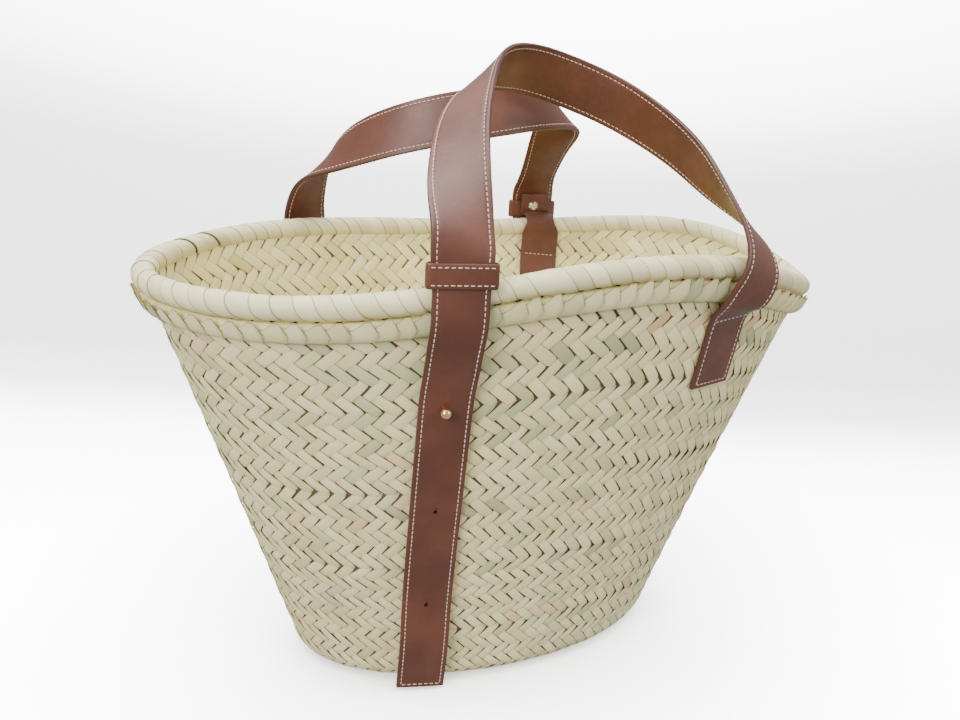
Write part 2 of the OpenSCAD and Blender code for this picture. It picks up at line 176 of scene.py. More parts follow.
class Wire:
    """A node's socket that can be used in a sum, so that a + b adds a Math node."""

    def __init__(self, bench: "Bench", socket: bpy.types.NodeSocket) -> None:
        """Keeps the socket and the bench that its nodes are added on."""
        self.bench = bench
        self.socket = socket

    def _sum(self, operation: str, first: Any, second: Any) -> "Wire":
        """A Math node on two values."""
        return self.bench.add("ShaderNodeMath", {"operation": operation}, {0: first, 1: second})

    def __add__(self, other: Any) -> "Wire":
        """self + other"""
        return self._sum("ADD", self, other)

    __radd__ = __add__

    def __sub__(self, other: Any) -> "Wire":
        """self - other"""
        return self._sum("SUBTRACT", self, other)

    def __rsub__(self, other: Any) -> "Wire":
        """other - self"""
        return self._sum("SUBTRACT", other, self)

    def __mul__(self, other: Any) -> "Wire":
        """self * other"""
        return self._sum("MULTIPLY", self, other)

    __rmul__ = __mul__

    def __truediv__(self, other: Any) -> "Wire":
        """self / other"""
        return self._sum("DIVIDE", self, other)

    def __pow__(self, other: Any) -> "Wire":
        """self to the power of other"""
        return self._sum("POWER", self, other)

    def __abs__(self) -> "Wire":
        """The size of self, without its sign."""
        return self._sum("ABSOLUTE", self, 0.0)


class Bench:
    """Adds nodes to one node tree."""

    def __init__(self, tree: bpy.types.NodeTree) -> None:
        """Takes the tree that the nodes go into."""
        self.tree = tree

    def add(self, kind: str, settings: dict[str, Any] | None = None,
            inputs: dict[int | str, Any] | None = None, out: int | str = 0) -> Wire:
        """Adds one node.

        Args:
            kind: the node's type.
            settings: its own settings, which are made first.
            inputs: a value or a link for each socket, by its name or number.
            out: the output that the result stands for.

        Returns:
            The chosen output.
        """
        node = self.tree.nodes.new(kind)
        for key, value in (settings or {}).items():
            if key == "stops":
                ramp = node.color_ramp
                while len(ramp.elements) < len(value):
                    ramp.elements.new(0.5)
                for element, (place, colour) in zip(ramp.elements, value):
                    element.position, element.color = place, (*colour, 1.0)
            else:
                setattr(node, key, value)
        for key, value in (inputs or {}).items():
            if isinstance(value, Wire):
                self.tree.links.new(value.socket, node.inputs[key])
            else:
                node.inputs[key].default_value = value
        return Wire(self, node.outputs[out]) if len(node.outputs) else Wire(self, None)

    def mix(self, share: Any, low: Any, high: Any) -> Wire:
        """A mix of two colours, from low at share 0 to high at share 1."""
        low, high = ((*c, 1.0) if isinstance(c, tuple) else c for c in (low, high))
        return self.add("ShaderNodeMix", {"data_type": "RGBA"}, {0: share, 6: low, 7: high}, out=2)

    def ramp(self, share: Any, stops: Sequence[tuple[float, Colour]]) -> Wire:
        """A colour from a list of places and colours."""
        return self.add("ShaderNodeValToRGB", {"stops": stops}, {0: share})

    def between(self, value: Any, low: float, high: float) -> Wire:
        """0 where value is low, 1 where it is high, and a soft step between."""
        return self.add("ShaderNodeMapRange", {"interpolation_type": "SMOOTHSTEP"},
                        {0: value, 1: low, 2: high})

    def noise(self, vector: Any, scale: float, detail: float = 3.0, rough: float = 0.5) -> Wire:
        """Noise from 0 to 1."""
        return self.add("ShaderNodeTexNoise", None,
                        {"Vector": vector, "Scale": scale, "Detail": detail, "Roughness": rough})

    def scaled(self, vector: Any, sizes: Sequence[float]) -> Wire:
        """A vector with each part multiplied by its own number."""
        return self.add("ShaderNodeVectorMath", {"operation": "MULTIPLY"}, {0: vector, 1: tuple(sizes)})

    def noted(self, name: str, out: str = "Fac") -> Wire:
        """What the mesh stores under a name."""
        return self.add("ShaderNodeAttribute", {"attribute_name": name}, out=out)

    def part(self, vector: Any, axis: str) -> Wire:
        """One part of a vector: X, Y or Z."""
        return self.add("ShaderNodeSeparateXYZ", None, {0: vector}, out=axis)

    def bump(self, height: Any, strength: float, distance: float) -> Wire:
        """A normal that is roughened by a height."""
        return self.add("ShaderNodeBump", None,
                        {"Height": height, "Strength": strength, "Distance": distance})


def finish(name: str, build: Callable[[Bench], dict[str, Any]]) -> bpy.types.Material:
    """Makes a material.

    Args:
        name: its name.
        build: adds its nodes, and gives what goes into each of the shader's sockets.

    Returns:
        The material.
    """
    material = bpy.data.materials.new(name)
    material.use_nodes = True
    tree = material.node_tree
    tree.nodes.clear()
    bench = Bench(tree)
    shader = bench.add("ShaderNodeBsdfPrincipled", None, build(bench))
    bench.add("ShaderNodeOutputMaterial", None, {"Surface": shader})
    return material


# ---------------------------------------------------------------- finishes


class Finish:
    """What every finish shares: its name, and the way from its nodes to a material."""

    name: str

    def _nodes(self, b: Bench) -> dict[str, Any]:
        """What goes into the shader, by socket; each finish has its own."""
        raise NotImplementedError

    def make(self) -> bpy.types.Material:
        """The material."""
        return finish(self.name, self._nodes)


@dataclass(frozen=True)
class PalmLeaf(Finish):
    """Dry palm leaf, in strips that each have their own tint."""

    name: str
    tints: tuple[tuple[float, Colour], ...]
    # painted shade: the dark colour of the shadowed gaps along the strips' edges and at their ends
    edge: Colour = (0.16, 0.11, 0.045)
    pale: Colour = (0.78, 0.76, 0.46)
    warm: Colour = (0.72, 0.54, 0.36)
    vein: Colour = (0.40, 0.33, 0.16)
    light: Colour = (0.94, 0.87, 0.58)
    roughness: float = 0.55
    # painted shade: how far the strips' ends darken where they tuck under the crossing strips
    worn: float = 0.30

    def _nodes(self, b: Bench) -> dict[str, Any]:
        """Tints by strip and by row, veins along the strip, and edges and ends darkened with painted shade.

        Args:
            b: the bench that its nodes are laid on.

        Returns:
            What goes into the shader, by socket.
        """
        leaf = b.noted("leaf", "Vector")
        tone, shade = b.noted("tone"), b.noted("shade")
        spot = b.add("ShaderNodeTexCoord", out="Object")
        base = b.ramp(tone * 0.66 + shade * 0.34, self.tints)
        patches = b.noise(spot, 14.0, 2.0)
        base = b.mix(b.between(patches, 0.42, 0.75) * 0.30, base, self.pale)
        base = b.mix(b.between(b.noise(spot, 31.0, 2.0), 0.55, 0.8) * 0.25, base, self.warm)
        shifted = b.add("ShaderNodeVectorMath", {"operation": "ADD"},
                        {0: b.scaled(leaf, (0.9, 15.0, 1.0)),
                         1: b.add("ShaderNodeCombineXYZ", None,
                                  {0: tone * 37.0, 1: tone * 91.0, 2: tone * 13.0})})
        vein = b.noise(shifted, 2.4, 4.0, 0.66)
        base = b.mix(b.between(vein, 0.55, 0.74) * 0.42, base, self.vein)
        base = b.mix(b.between(vein, 0.45, 0.28) * 0.35, base, self.light)
        across, along = abs(b.part(leaf, "Y")), abs(b.part(leaf, "X"))
        # painted shade at the strip's ends, where they tuck under the crossing strips
        base = b.mix(b.between(along, 0.72, 0.98) * self.worn, base, self.edge)
        # painted shade along the strip's edges, for the shadowed gaps between strips
        base = b.mix(b.between(across, 0.84, 1.02) * 0.80, base, self.edge)
        height = vein * 0.5 + b.between(across, 1.0, 0.86) * 0.5
        return {
            "Base Color": base,
            "Roughness": self.roughness + vein * 0.15,
            "Specular IOR Level": 0.35,
            "Normal": b.bump(height, 0.6, 0.0005),
        }


@dataclass(frozen=True)
class CoreLeaf(Finish):
    """The leaf under the plait that shows in its gaps, coloured dark as painted shade for the shadow there.
    """

    name: str = "leaf_core"
    # painted shade: the dark colour of leaf in shadow
    colour: Colour = (0.105, 0.075, 0.036)

    def _nodes(self, b: Bench) -> dict[str, Any]:
        """A dull dark leaf colour, painted shade for the plait's gaps, with a little variation.

        Args:
            b: the bench that its nodes are laid on.

        Returns:
            What goes into the shader, by socket.
        """
        spot = b.add("ShaderNodeTexCoord", out="Object")
        grain = b.noise(spot, 160.0, 3.0)
        return {"Base Color": b.mix(grain, self.colour, tuple(c * 1.9 for c in self.colour)),
                "Roughness": 0.8 + grain * 0.1, "Normal": b.bump(grain, 0.5, 0.0006)}


@dataclass(frozen=True)
class Leather(Finish):
    """Smooth strap leather with a fine grain, creases and rubbed edges."""

    name: str
    colour: Colour
    light: Colour
    dark: Colour
    roughness: float = 0.42
    grain: float = 0.22

    def _nodes(self, b: Bench) -> dict[str, Any]:
        """Cloudy colour, pores, cross creases, and a press mark along each stitch line.

        Args:
            b: the bench that its nodes are laid on.

        Returns:
            What goes into the shader, by socket.
        """
        spot = b.add("ShaderNodeTexCoord", out="Object")
        strap = b.noted("strap", "Vector")
        cloud = b.noise(spot, 22.0, 3.0, 0.55)
        fine = b.noise(spot, 420.0, 2.0, 0.6)
        cells = b.add("ShaderNodeTexVoronoi", {"feature": "DISTANCE_TO_EDGE"},
                      {"Vector": spot, "Scale": 620.0})
        crease = b.noise(b.scaled(strap, (0.8, 260.0, 1.0)), 1.0, 4.0, 0.6)
        base = b.mix(b.between(cloud, 0.35, 0.68), self.colour, self.light)
        base = b.mix(b.between(fine, 0.55, 0.85) * 0.35, base, self.dark)
        base = b.mix(b.between(crease, 0.58, 0.8) * 0.30, base, self.dark)
        side = abs(b.part(strap, "X"))
        base = b.mix(b.between(side, 0.90, 1.0) * 0.55, base, self.dark)
        press = b.between(abs(side - 0.82), 0.0, 0.035)
        base = b.mix((1.0 - press) * 0.25, base, self.dark)
        pores = b.between(cells, 0.0, 0.12)
        height = pores * 0.35 + fine * 0.35 + crease * 0.9
        return {
            "Base Color": base,
            "Roughness": self.roughness + fine * 0.16 - b.between(cloud, 0.4, 0.7) * 0.05,
            "Specular IOR Level": 0.5,
            "Coat Weight": 0.15,
            "Coat Roughness": 0.4,
            "Normal": b.bump(height, self.grain, 0.0006),
        }


@dataclass(frozen=True)
class EdgePaint(Finish):
    """The dark paint that seals a strap's cut edges."""

    name: str = "edge_paint"
    colour: Colour = (0.030, 0.013, 0.010)

    def _nodes(self, b: Bench) -> dict[str, Any]:
        """A dark coat with slight runs.

        Args:
            b: the bench that its nodes are laid on.

        Returns:
            What goes into the shader, by socket.
        """
        runs = b.noise(b.add("ShaderNodeTexCoord", out="Object"), 90.0, 3.0)
        return {"Base Color": b.mix(runs, self.colour, (0.075, 0.032, 0.024)),
                "Roughness": 0.34 + runs * 0.2, "Normal": b.bump(runs, 0.2, 0.0004)}


@dataclass(frozen=True)
class Thread(Finish):
    """Waxed sewing thread."""

    name: str = "thread"
    colour: Colour = (0.66, 0.50, 0.43)

    def _nodes(self, b: Bench) -> dict[str, Any]:
        """Twisted plies, by a wave along the thread.

        Args:
            b: the bench that its nodes are laid on.

        Returns:
            What goes into the shader, by socket.
        """
        spot = b.add("ShaderNodeTexCoord", out="Object")
        twist = b.add("ShaderNodeTexWave", {"bands_direction": "DIAGONAL"},
                      {"Vector": spot, "Scale": 900.0, "Distortion": 2.0}, out="Fac")
        shade = b.noise(spot, 60.0, 2.0)
        base = b.mix(twist * 0.4, self.colour, (0.45, 0.31, 0.26))
        return {"Base Color": b.mix(b.between(shade, 0.4, 0.7) * 0.4, base, (0.82, 0.68, 0.60)),
                "Roughness": 0.55 + twist * 0.2, "Normal": b.bump(twist, 0.3, 0.0002)}


@dataclass(frozen=True)
class Metal(Finish):
    """Turned and polished metal with light wear."""

    name: str
    colour: Colour
    # the colour of worn, dull patches: real wear, with no shade in it
    worn: Colour
    roughness: float = 0.16

    def _nodes(self, b: Bench) -> dict[str, Any]:
        """Fine scratches and dull patches.

        Args:
            b: the bench that its nodes are laid on.

        Returns:
            What goes into the shader, by socket.
        """
        spot = b.add("ShaderNodeTexCoord", out="Object")
        marks = b.noise(spot, 700.0, 3.0, 0.6)
        dull = b.noise(spot, 150.0, 2.0)
        return {"Base Color": b.mix(b.between(dull, 0.45, 0.8), self.colour, self.worn),
                "Metallic": 1.0,
                "Roughness": self.roughness + marks * 0.14 + b.between(dull, 0.5, 0.8) * 0.12,
                "Normal": b.bump(marks, 0.06, 0.0001)}


@dataclass(frozen=True)
class PlainGround(Finish):
    """The pale floor and wall behind the basket, which glow with painted light and are a little darker, by
    painted shade, where they meet.
    """

    name: str = "pale_ground"
    colour: Colour = (0.80, 0.80, 0.80)
    ahead: Colour = (0.4094, 0.9123, 1.0)
    reach: float = 5.0
    strength: float = 13.0

    def _nodes(self, b: Bench) -> dict[str, Any]:
        """A painted glow that falls off far behind, and a painted contact shadow close to the basket's foot.

        Args:
            b: the bench that its nodes are laid on.

        Returns:
            What goes into the shader, by socket.
        """
        spot = b.add("ShaderNodeTexCoord", out="Object")
        far = b.add("ShaderNodeVectorMath", {"operation": "DOT_PRODUCT"},
                    {0: spot, 1: self.ahead}, out="Value")
        # painted light: the glow's brightness along the way ahead and up, with a darker band of painted shade
        steps = ((0.0, 1.0), (0.075, 0.60), (0.114, 0.19), (0.154, 0.115), (0.21, 0.115), (0.30, 0.14),
                 (0.57, 0.18), (0.64, 0.30), (0.70, 0.50), (0.78, 0.66), (0.90, 0.90))
        painted_glow = b.ramp(far / self.reach, tuple((place, (v, v, v)) for place, v in steps))
        # painted shadow: ambient occlusion darkens the glow to near black close to the basket's foot
        painted_contact_shadow = b.add("ShaderNodeAmbientOcclusion", {"samples": 8}, {"Distance": 0.30}, out="AO")
        return {"Base Color": self.colour + (1.0,), "Roughness": 0.8, "Specular IOR Level": 0.0,
                "Emission Color": b.mix(painted_contact_shadow ** 2.2, (0.04, 0.04, 0.04), painted_glow),
                "Emission Strength": self.strength}


OUTER_TINTS: tuple[tuple[float, Colour], ...] = (
    (0.0, (0.42, 0.44, 0.23)), (0.14, (0.60, 0.59, 0.32)), (0.34, (0.78, 0.72, 0.36)),
    (0.55, (0.88, 0.79, 0.41)), (0.74, (0.91, 0.83, 0.47)), (0.88, (0.87, 0.65, 0.37)),
    (1.0, (0.70, 0.48, 0.23)),
)
INNER_TINTS: tuple[tuple[float, Colour], ...] = (
    (0.0, (0.64, 0.56, 0.23)), (0.25, (0.80, 0.71, 0.31)), (0.55, (0.91, 0.81, 0.39)),
    (0.80, (0.94, 0.86, 0.46)), (1.0, (0.88, 0.65, 0.31)),
)
ROLL_TINTS: tuple[tuple[float, Colour], ...] = (
    (0.0, (0.62, 0.57, 0.31)), (0.4, (0.80, 0.73, 0.42)), (0.75, (0.87, 0.80, 0.49)),
    (1.0, (0.70, 0.58, 0.34)),
)


@dataclass
class Wardrobe:
    """Every finish, made once."""

    leaf: bpy.types.Material = field(init=False)
    inner_leaf: bpy.types.Material = field(init=False)
    roll_leaf: bpy.types.Material = field(init=False)
    # painted shade: the dark leaf that shows in the plait's gaps
    core: bpy.types.Material = field(init=False)
    leather: bpy.types.Material = field(init=False)
    lining: bpy.types.Material = field(init=False)
    edge: bpy.types.Material = field(init=False)
    thread: bpy.types.Material = field(init=False)
    brass: bpy.types.Material = field(init=False)
    nickel: bpy.types.Material = field(init=False)

    def __post_init__(self) -> None:
        """Makes the materials."""
        self.leaf = PalmLeaf("palm_leaf", OUTER_TINTS).make()
        # the inside strips get a lighter, warmer painted shade at their edges
        self.inner_leaf = PalmLeaf("palm_leaf_inside", INNER_TINTS, edge=(0.20, 0.13, 0.045)).make()
        # the rim's strips get less painted shade at their ends
        self.roll_leaf = PalmLeaf("palm_leaf_rim", ROLL_TINTS, roughness=0.42, worn=0.15).make()
        self.core = CoreLeaf().make()
        self.leather = Leather("strap_leather", (0.088, 0.024, 0.0105), (0.128, 0.038, 0.018),
                               (0.055, 0.018, 0.011)).make()
        self.lining = Leather("strap_lining", (0.066, 0.027, 0.016), (0.092, 0.040, 0.025),
                              (0.036, 0.014, 0.009), roughness=0.50).make()
        self.edge = EdgePaint().make()
        self.thread = Thread().make()
        self.brass = Metal("brass", (0.80, 0.58, 0.26), (0.62, 0.44, 0.20)).make()
        self.nickel = Metal("nickel", (0.80, 0.78, 0.74), (0.62, 0.60, 0.57)).make()


# ---------------------------------------------------------------- the scatter tree


class Scatter:
    """Sets a small mesh on many points with Geometry Nodes and gives back one plain mesh."""

    INPUTS: tuple[tuple[str, str], ...] = (
        ("Geometry", "NodeSocketGeometry"), ("Item", "NodeSocketObject"), ("Length", "NodeSocketFloat"),
        ("Width", "NodeSocketFloat"), ("Height", "NodeSocketFloat"), ("Turn spread", "NodeSocketFloat"),
        ("Size spread", "NodeSocketFloat"), ("Seed", "NodeSocketInt"), ("Finish", "NodeSocketMaterial"),
    )

    def __init__(self) -> None:
        """Builds the tree."""
        self.tree = bpy.data.node_groups.new("set_on_points", "GeometryNodeTree")
        for name, kind in self.INPUTS:
            self.tree.interface.new_socket(name, in_out="INPUT", socket_type=kind)
        self.tree.interface.new_socket("Geometry", in_out="OUTPUT", socket_type="NodeSocketGeometry")
        b = Bench(self.tree)
        start = self.tree.nodes.new("NodeGroupInput")

        def given(name: str) -> Wire:
            """One of the tree's inputs."""
            return Wire(b, start.outputs[name])

        def stored(name: str) -> Wire:
            """A vector that the points hold."""
            return b.add("GeometryNodeInputNamedAttribute", {"data_type": "FLOAT_VECTOR"}, {"Name": name})

        def chance(low: Any, high: Any, more: int) -> Wire:
            """A random number for each point, from the seed."""
            return b.add("FunctionNodeRandomValue", {"data_type": "FLOAT"},
                         {2: low, 3: high, 8: given("Seed") + more}, out=1)

        item = b.add("GeometryNodeObjectInfo", None, {"Object": given("Item")}, out="Geometry")
        turn = b.add("FunctionNodeAxesToRotation", {"primary_axis": "Z", "secondary_axis": "X"},
                     {0: stored("item_z"), 1: stored("item_x")})
        spread = given("Turn spread")
        wobble = b.add("ShaderNodeCombineXYZ", None, {2: chance(0.0 - spread, spread, 1)})
        turn = b.add("FunctionNodeRotateRotation", {"rotation_space": "LOCAL"},
                     {0: turn, 1: b.add("FunctionNodeEulerToRotation", None, {0: wobble})})
        more = given("Size spread")
        size = b.add("ShaderNodeCombineXYZ", None, {
            0: given("Length") * (1.0 + chance(0.0 - more, more, 2)),
            1: given("Width") * (1.0 + chance(0.0 - more, more, 3)),
            2: given("Height") * (1.0 + chance(0.0 - more, more, 4) * 2.0)})
        items = b.add("GeometryNodeInstanceOnPoints", None,
                      {"Points": given("Geometry"), "Instance": item, "Rotation": turn, "Scale": size})
        items = b.add("GeometryNodeStoreNamedAttribute", {"data_type": "FLOAT", "domain": "INSTANCE"},
                      {"Geometry": items, "Name": "tone", "Value": chance(0.0, 1.0, 5)})
        plain = b.add("GeometryNodeRealizeInstances", None, {0: items})
        plain = b.add("GeometryNodeSetMaterial", None, {"Geometry": plain, "Material": given("Finish")})
        b.add("NodeGroupOutput", None, {0: plain})

    def lay(self, name: str, item: bpy.types.Object, points: np.ndarray, item_x: np.ndarray,
            item_z: np.ndarray, material: bpy.types.Material, *, shade: np.ndarray | None = None,
            length: float = 1.0, width: float = 1.0, height: float = 1.0, turn: float = 0.0,
            spread: float = 0.0, seed: int = 1) -> bpy.types.Object:
        """Sets the item on each point.

        Args:
            name: the name of the result.
            item: the mesh object that is repeated.
            points: where the items go.
            item_x: the direction of each item's length.
            item_z: the direction of each item's outer face.
            material: the finish of all of them.
            shade: a number from 0 to 1 for each point, which its item keeps.
            length: how much longer an item is made.
            width: how much wider.
            height: how much thicker.
            turn: how far an item may turn at random, in radians.
            spread: by what share its sizes may differ at random.
            seed: the seed of all that is random here.

        Returns:
            One plain mesh object.
        """
        carrier = new_piece(name + "_points", points, [])
        note(carrier, "item_x", np.asarray(item_x, float))
        note(carrier, "item_z", np.asarray(item_z, float))
        note(carrier, "shade", np.full(len(points), 0.5) if shade is None else shade)
        modifier = carrier.modifiers.new("set", "NODES")
        modifier.node_group = self.tree
        values = {"Item": item, "Length": length, "Width": width, "Height": height, "Turn spread": turn,
                  "Size spread": spread, "Seed": seed, "Finish": material}
        for socket in self.tree.interface.items_tree:
            if socket.in_out == "INPUT" and socket.name in values:
                modifier[socket.identifier] = values[socket.name]
        carrier.update_tag()
        graph = bpy.context.evaluated_depsgraph_get()
        mesh = bpy.data.meshes.new_from_object(carrier.evaluated_get(graph), preserve_all_data_layers=True,
                                               depsgraph=graph)
        carrier.modifiers.remove(modifier)
        bpy.data.objects.remove(carrier)
        mesh.name = name
        piece = bpy.data.objects.new(name, mesh)
        bpy.context.scene.collection.objects.link(piece)
        if not piece.data.materials:
            piece.data.materials.append(material)
        return piece


def thin_sheet(name: str, top: np.ndarray, thick: float) -> bpy.types.Object:
    """A closed thin piece from a grid of points on its upper face.

    Args:
        name: its name.
        top: the points, as rows along its length by columns across its width.
        thick: its thickness, in the grid's own units.

    Returns:
        The piece, with its place along and across stored as "leaf".
    """
    m, n = top.shape[:2]
    low = np.stack([top[:, 0], top[:, -1]], axis=1) - np.array([0, 0, thick])
    verts = np.vstack([top.reshape(-1, 3), low.reshape(-1, 3)])

    def up(i: int, j: int) -> int:
        """The number of a point of the upper face."""
        return i * n + j

    def down(i: int, j: int) -> int:
        """The number of a point of the lower face."""
        return m * n + i * 2 + j

    faces: list[list[int]] = []
    for i in range(m - 1):
        faces += [[up(i, j), up(i + 1, j), up(i + 1, j + 1), up(i, j + 1)] for j in range(n - 1)]
        faces.append([up(i, 0), down(i, 0), down(i + 1, 0), up(i + 1, 0)])
        faces.append([up(i, n - 1), up(i + 1, n - 1), down(i + 1, 1), down(i, 1)])
        faces.append([down(i, 0), down(i, 1), down(i + 1, 1), down(i + 1, 0)])
    faces.append([up(0, j) for j in range(n)] + [down(0, 1), down(0, 0)])
    faces.append([down(m - 1, 0), down(m - 1, 1)] + [up(m - 1, j) for j in range(n - 1, -1, -1)])
    piece = new_piece(name, verts, faces)
    s, t = np.meshgrid(np.linspace(-1, 1, m), np.linspace(-1, 1, n), indexing="ij")
    where = np.stack([s.ravel(), t.ravel(), np.zeros(m * n)], axis=1)
    # the side faces get across values past the top face's edge, so they take the full painted shade of the
    # edges
    ends = np.stack([np.repeat(np.linspace(-1, 1, m), 2), np.tile([-1.1, 1.1], m), np.zeros(2 * m)], axis=1)
    note(piece, "leaf", np.vstack([where, ends]))
    smooth_shading(piece, 60.0)
    return piece


# ---------------------------------------------------------------- the basket's form


@dataclass(frozen=True)
class BasketShape:
    """The basket's form, in millimetres."""

    mouth_a: float = 268.0
    mouth_b: float = 148.0
    base_a: float = 152.0
    base_b: float = 85.0
    rim_h: float = 314.0
    wall_t: float = 5.0
    mat_t: float = 6.0
    foot_r: float = 16.0
    mouth_dx: float = 10.0
    mouth_dy: float = 6.0
    skew: float = 0.03
    roll_r: float = 8.5
    band_h: float = 14.0
    sag: float = 8.5
    wave: float = 8.5
    ripple: float = 4.0
    wave_turn: float = math.radians(20.0)
    top_in_a: float = 2.0
    top_in_b: float = 1.0
    roll_gap: float = 0.5

    @property
    def wall_h(self) -> float:
        """Height of the wall, under the roll."""
        return self.rim_h - self.roll_r - self.roll_gap

    @property
    def profile(self) -> float:
        """Way from the edge of the base, round the foot and up to the wall's top."""
        return self.foot_r * (math.pi / 2 - 1) + self.wall_h

    def rise(self, th: Any) -> Any:
        """How far the rim lies above its mean height at an angle."""
        return (-self.sag * np.cos(2 * th) + self.wave * np.sin(3 * th - self.wave_turn)
                + self.ripple * np.sin(4 * th))

    def wall(self, th: Any, h: Any, grow: Any) -> np.ndarray:
        """Points of the wall at angles th and height shares h, grown outwards."""
        a = self.base_a + (self.mouth_a - self.top_in_a - self.base_a) * h + grow
        b = self.base_b + (self.mouth_b - self.top_in_b - self.base_b) * h + grow
        return np.stack([self.mouth_dx * h + a * np.cos(th),
                         self.mouth_dy * h + b * np.sin(th) * (1 + self.skew * h * np.cos(th)),
                         h * (self.wall_h + self.rise(th) * h)], axis=-1)

    def outside(self, th: Any, way: Any) -> np.ndarray:
        """Points of the outer face at angles th and a way up its profile."""
        way = np.maximum(way, 0.0)
        turn = np.minimum(way / self.foot_r, math.pi / 2)
        z = self.foot_r * (1 - np.cos(turn)) + np.maximum(way - self.foot_r * math.pi / 2, 0.0)
        return self.wall(th, z / self.wall_h, -self.foot_r * (1 - np.sin(turn)))

    def on_wall(self, th: Any, way: Any, depth: Any) -> np.ndarray:
        """Points that stand out of the outer face by a depth, along its normal.

        Args:
            th: their angles round the basket.
            way: how far up the profile they lie.
            depth: how far out of the face they stand.

        Returns:
            The points, in millimetres.
        """
        small = 0.002
        p = self.outside(th, way)
        east = self.outside(th + small, way) - self.outside(th - small, way)
        step = np.where(way < 0.6, 0.6 - way, 0.0)
        north = self.outside(th, way + 0.5 + step) - self.outside(th, way - 0.5 + step)
        out = unit(np.cross(unit(east), unit(north)))
        return p + out * np.asarray(depth)[..., None]

    def roll(self, th: Any, out: Any, up: Any) -> np.ndarray:
        """Points near the rim's roll: out of its middle, and up."""
        return np.stack([self.mouth_dx + (self.mouth_a + out) * np.cos(th),
                         self.mouth_dy + (self.mouth_b + out) * np.sin(th) * (1 + self.skew * np.cos(th)),
                         self.rim_h + self.rise(th) + up], axis=-1)

    def angle(self, share: Any, a: float, b: float) -> np.ndarray:
        """The angles at even shares of the way round an oval."""
        th = np.linspace(0.0, 2 * math.pi, 1441)
        step = np.hypot(np.diff(a * np.cos(th)), np.diff(b * np.sin(th)))
        way = np.concatenate([[0.0], np.cumsum(step)]) / step.sum()
        whole = np.floor(share)
        return np.interp(share - whole, way, th) + whole * 2 * math.pi


def ring_faces(around: int, sides: int) -> list[list[int]]:
    """The faces of a ring that closes on itself and has a closed outline.

    Args:
        around: steps round the ring.
        sides: points of its outline.

    Returns:
        Four-sided faces, all the outline's sides in each step of the ring.
    """
    return [[i * sides + j, (i + 1) % around * sides + j, (i + 1) % around * sides + (j + 1) % sides,
             i * sides + (j + 1) % sides] for i in range(around) for j in range(sides)]


def prism_faces(n: int) -> list[list[int]]:
    """The sides and the two ends of a prism with n corners below and n above."""
    sides = [[i, (i + 1) % n, n + (i + 1) % n, n + i] for i in range(n)]
    return sides + [list(range(n - 1, -1, -1)), list(range(n, 2 * n))]


# ---------------------------------------------------------------- plaited pieces


@dataclass
class Plait:
    """Herringbone plait laid out flat, one unit to a column and one to a row."""

    half_length: float = 0.707
    half_width: float = 0.354
    tuck: float = 0.15
    crown: float = 0.95
    droop: float = 0.42
    thick: float = 0.45
    fill: float = 0.955

    def leaf(self) -> bpy.types.Object:
        """One strip as it shows between two crossings, its height in metres."""
        s, t = np.meshgrid(np.linspace(-1, 1, 7), np.linspace(-1, 1, 4), indexing="ij")
        rise = self.crown * np.cos(s * math.pi / 2 * 0.98) ** 0.75
        z = rise - 0.55 - self.droop * np.abs(t) ** 2 * (1 - 0.3 * t)
        taper = 1.0 - 0.05 * np.abs(s) ** 3 - 0.30 * np.clip((s - 0.5) / 0.5, 0, 1) ** 2
        top = np.stack([s * (self.half_length + self.tuck), t * self.half_width * self.fill * taper,
                        z * MM], axis=-1)
        return thin_sheet("leaf_strip", top, self.thick * MM)

    def flat(self, scatter: Scatter, name: str, strip: bpy.types.Object, columns: int, rows: int,
             material: bpy.types.Material, rng: np.random.Generator, seed: int,
             tint: float) -> bpy.types.Object:
        """Lays a whole course out flat.

        Args:
            scatter: sets the strips.
            name: the name of the course.
            strip: the strip that is repeated.
            columns: strips in each row.
            rows: rows in the course.
            material: its finish.
            rng: where its row tints come from.
            seed: the seed of its strips.
            tint: how far the tints of its rows differ.

        Returns:
            The course, X in columns, Y in rows and Z in metres.
        """
        points, along, shade = [], [], []
        for row in range(rows):
            odd = row % 2
            drift = np.cumsum(rng.normal(0.0, 0.16, columns))
            drift = drift - np.linspace(0, drift[-1], columns)
            for column in range(columns):
                height = rng.normal(0.0, 0.12) - 0.20 + 0.40 * (1 - odd)
                points.append((column - 0.5 * odd, row + 0.5, height * MM))
                along.append((1.0, 1.0 if odd else -1.0, 0.0))
                shade.append(0.5 + tint * math.sin(row * 2.4 + seed) + drift[column] * 0.35)
        k = len(points)
        up = np.tile([0.0, 0.0, 1.0], (k, 1))
        return scatter.lay(name, strip, np.array(points), unit(np.array(along)), up, material,
                           shade=np.clip(np.array(shade), 0, 1), turn=0.085, spread=0.075, seed=seed)


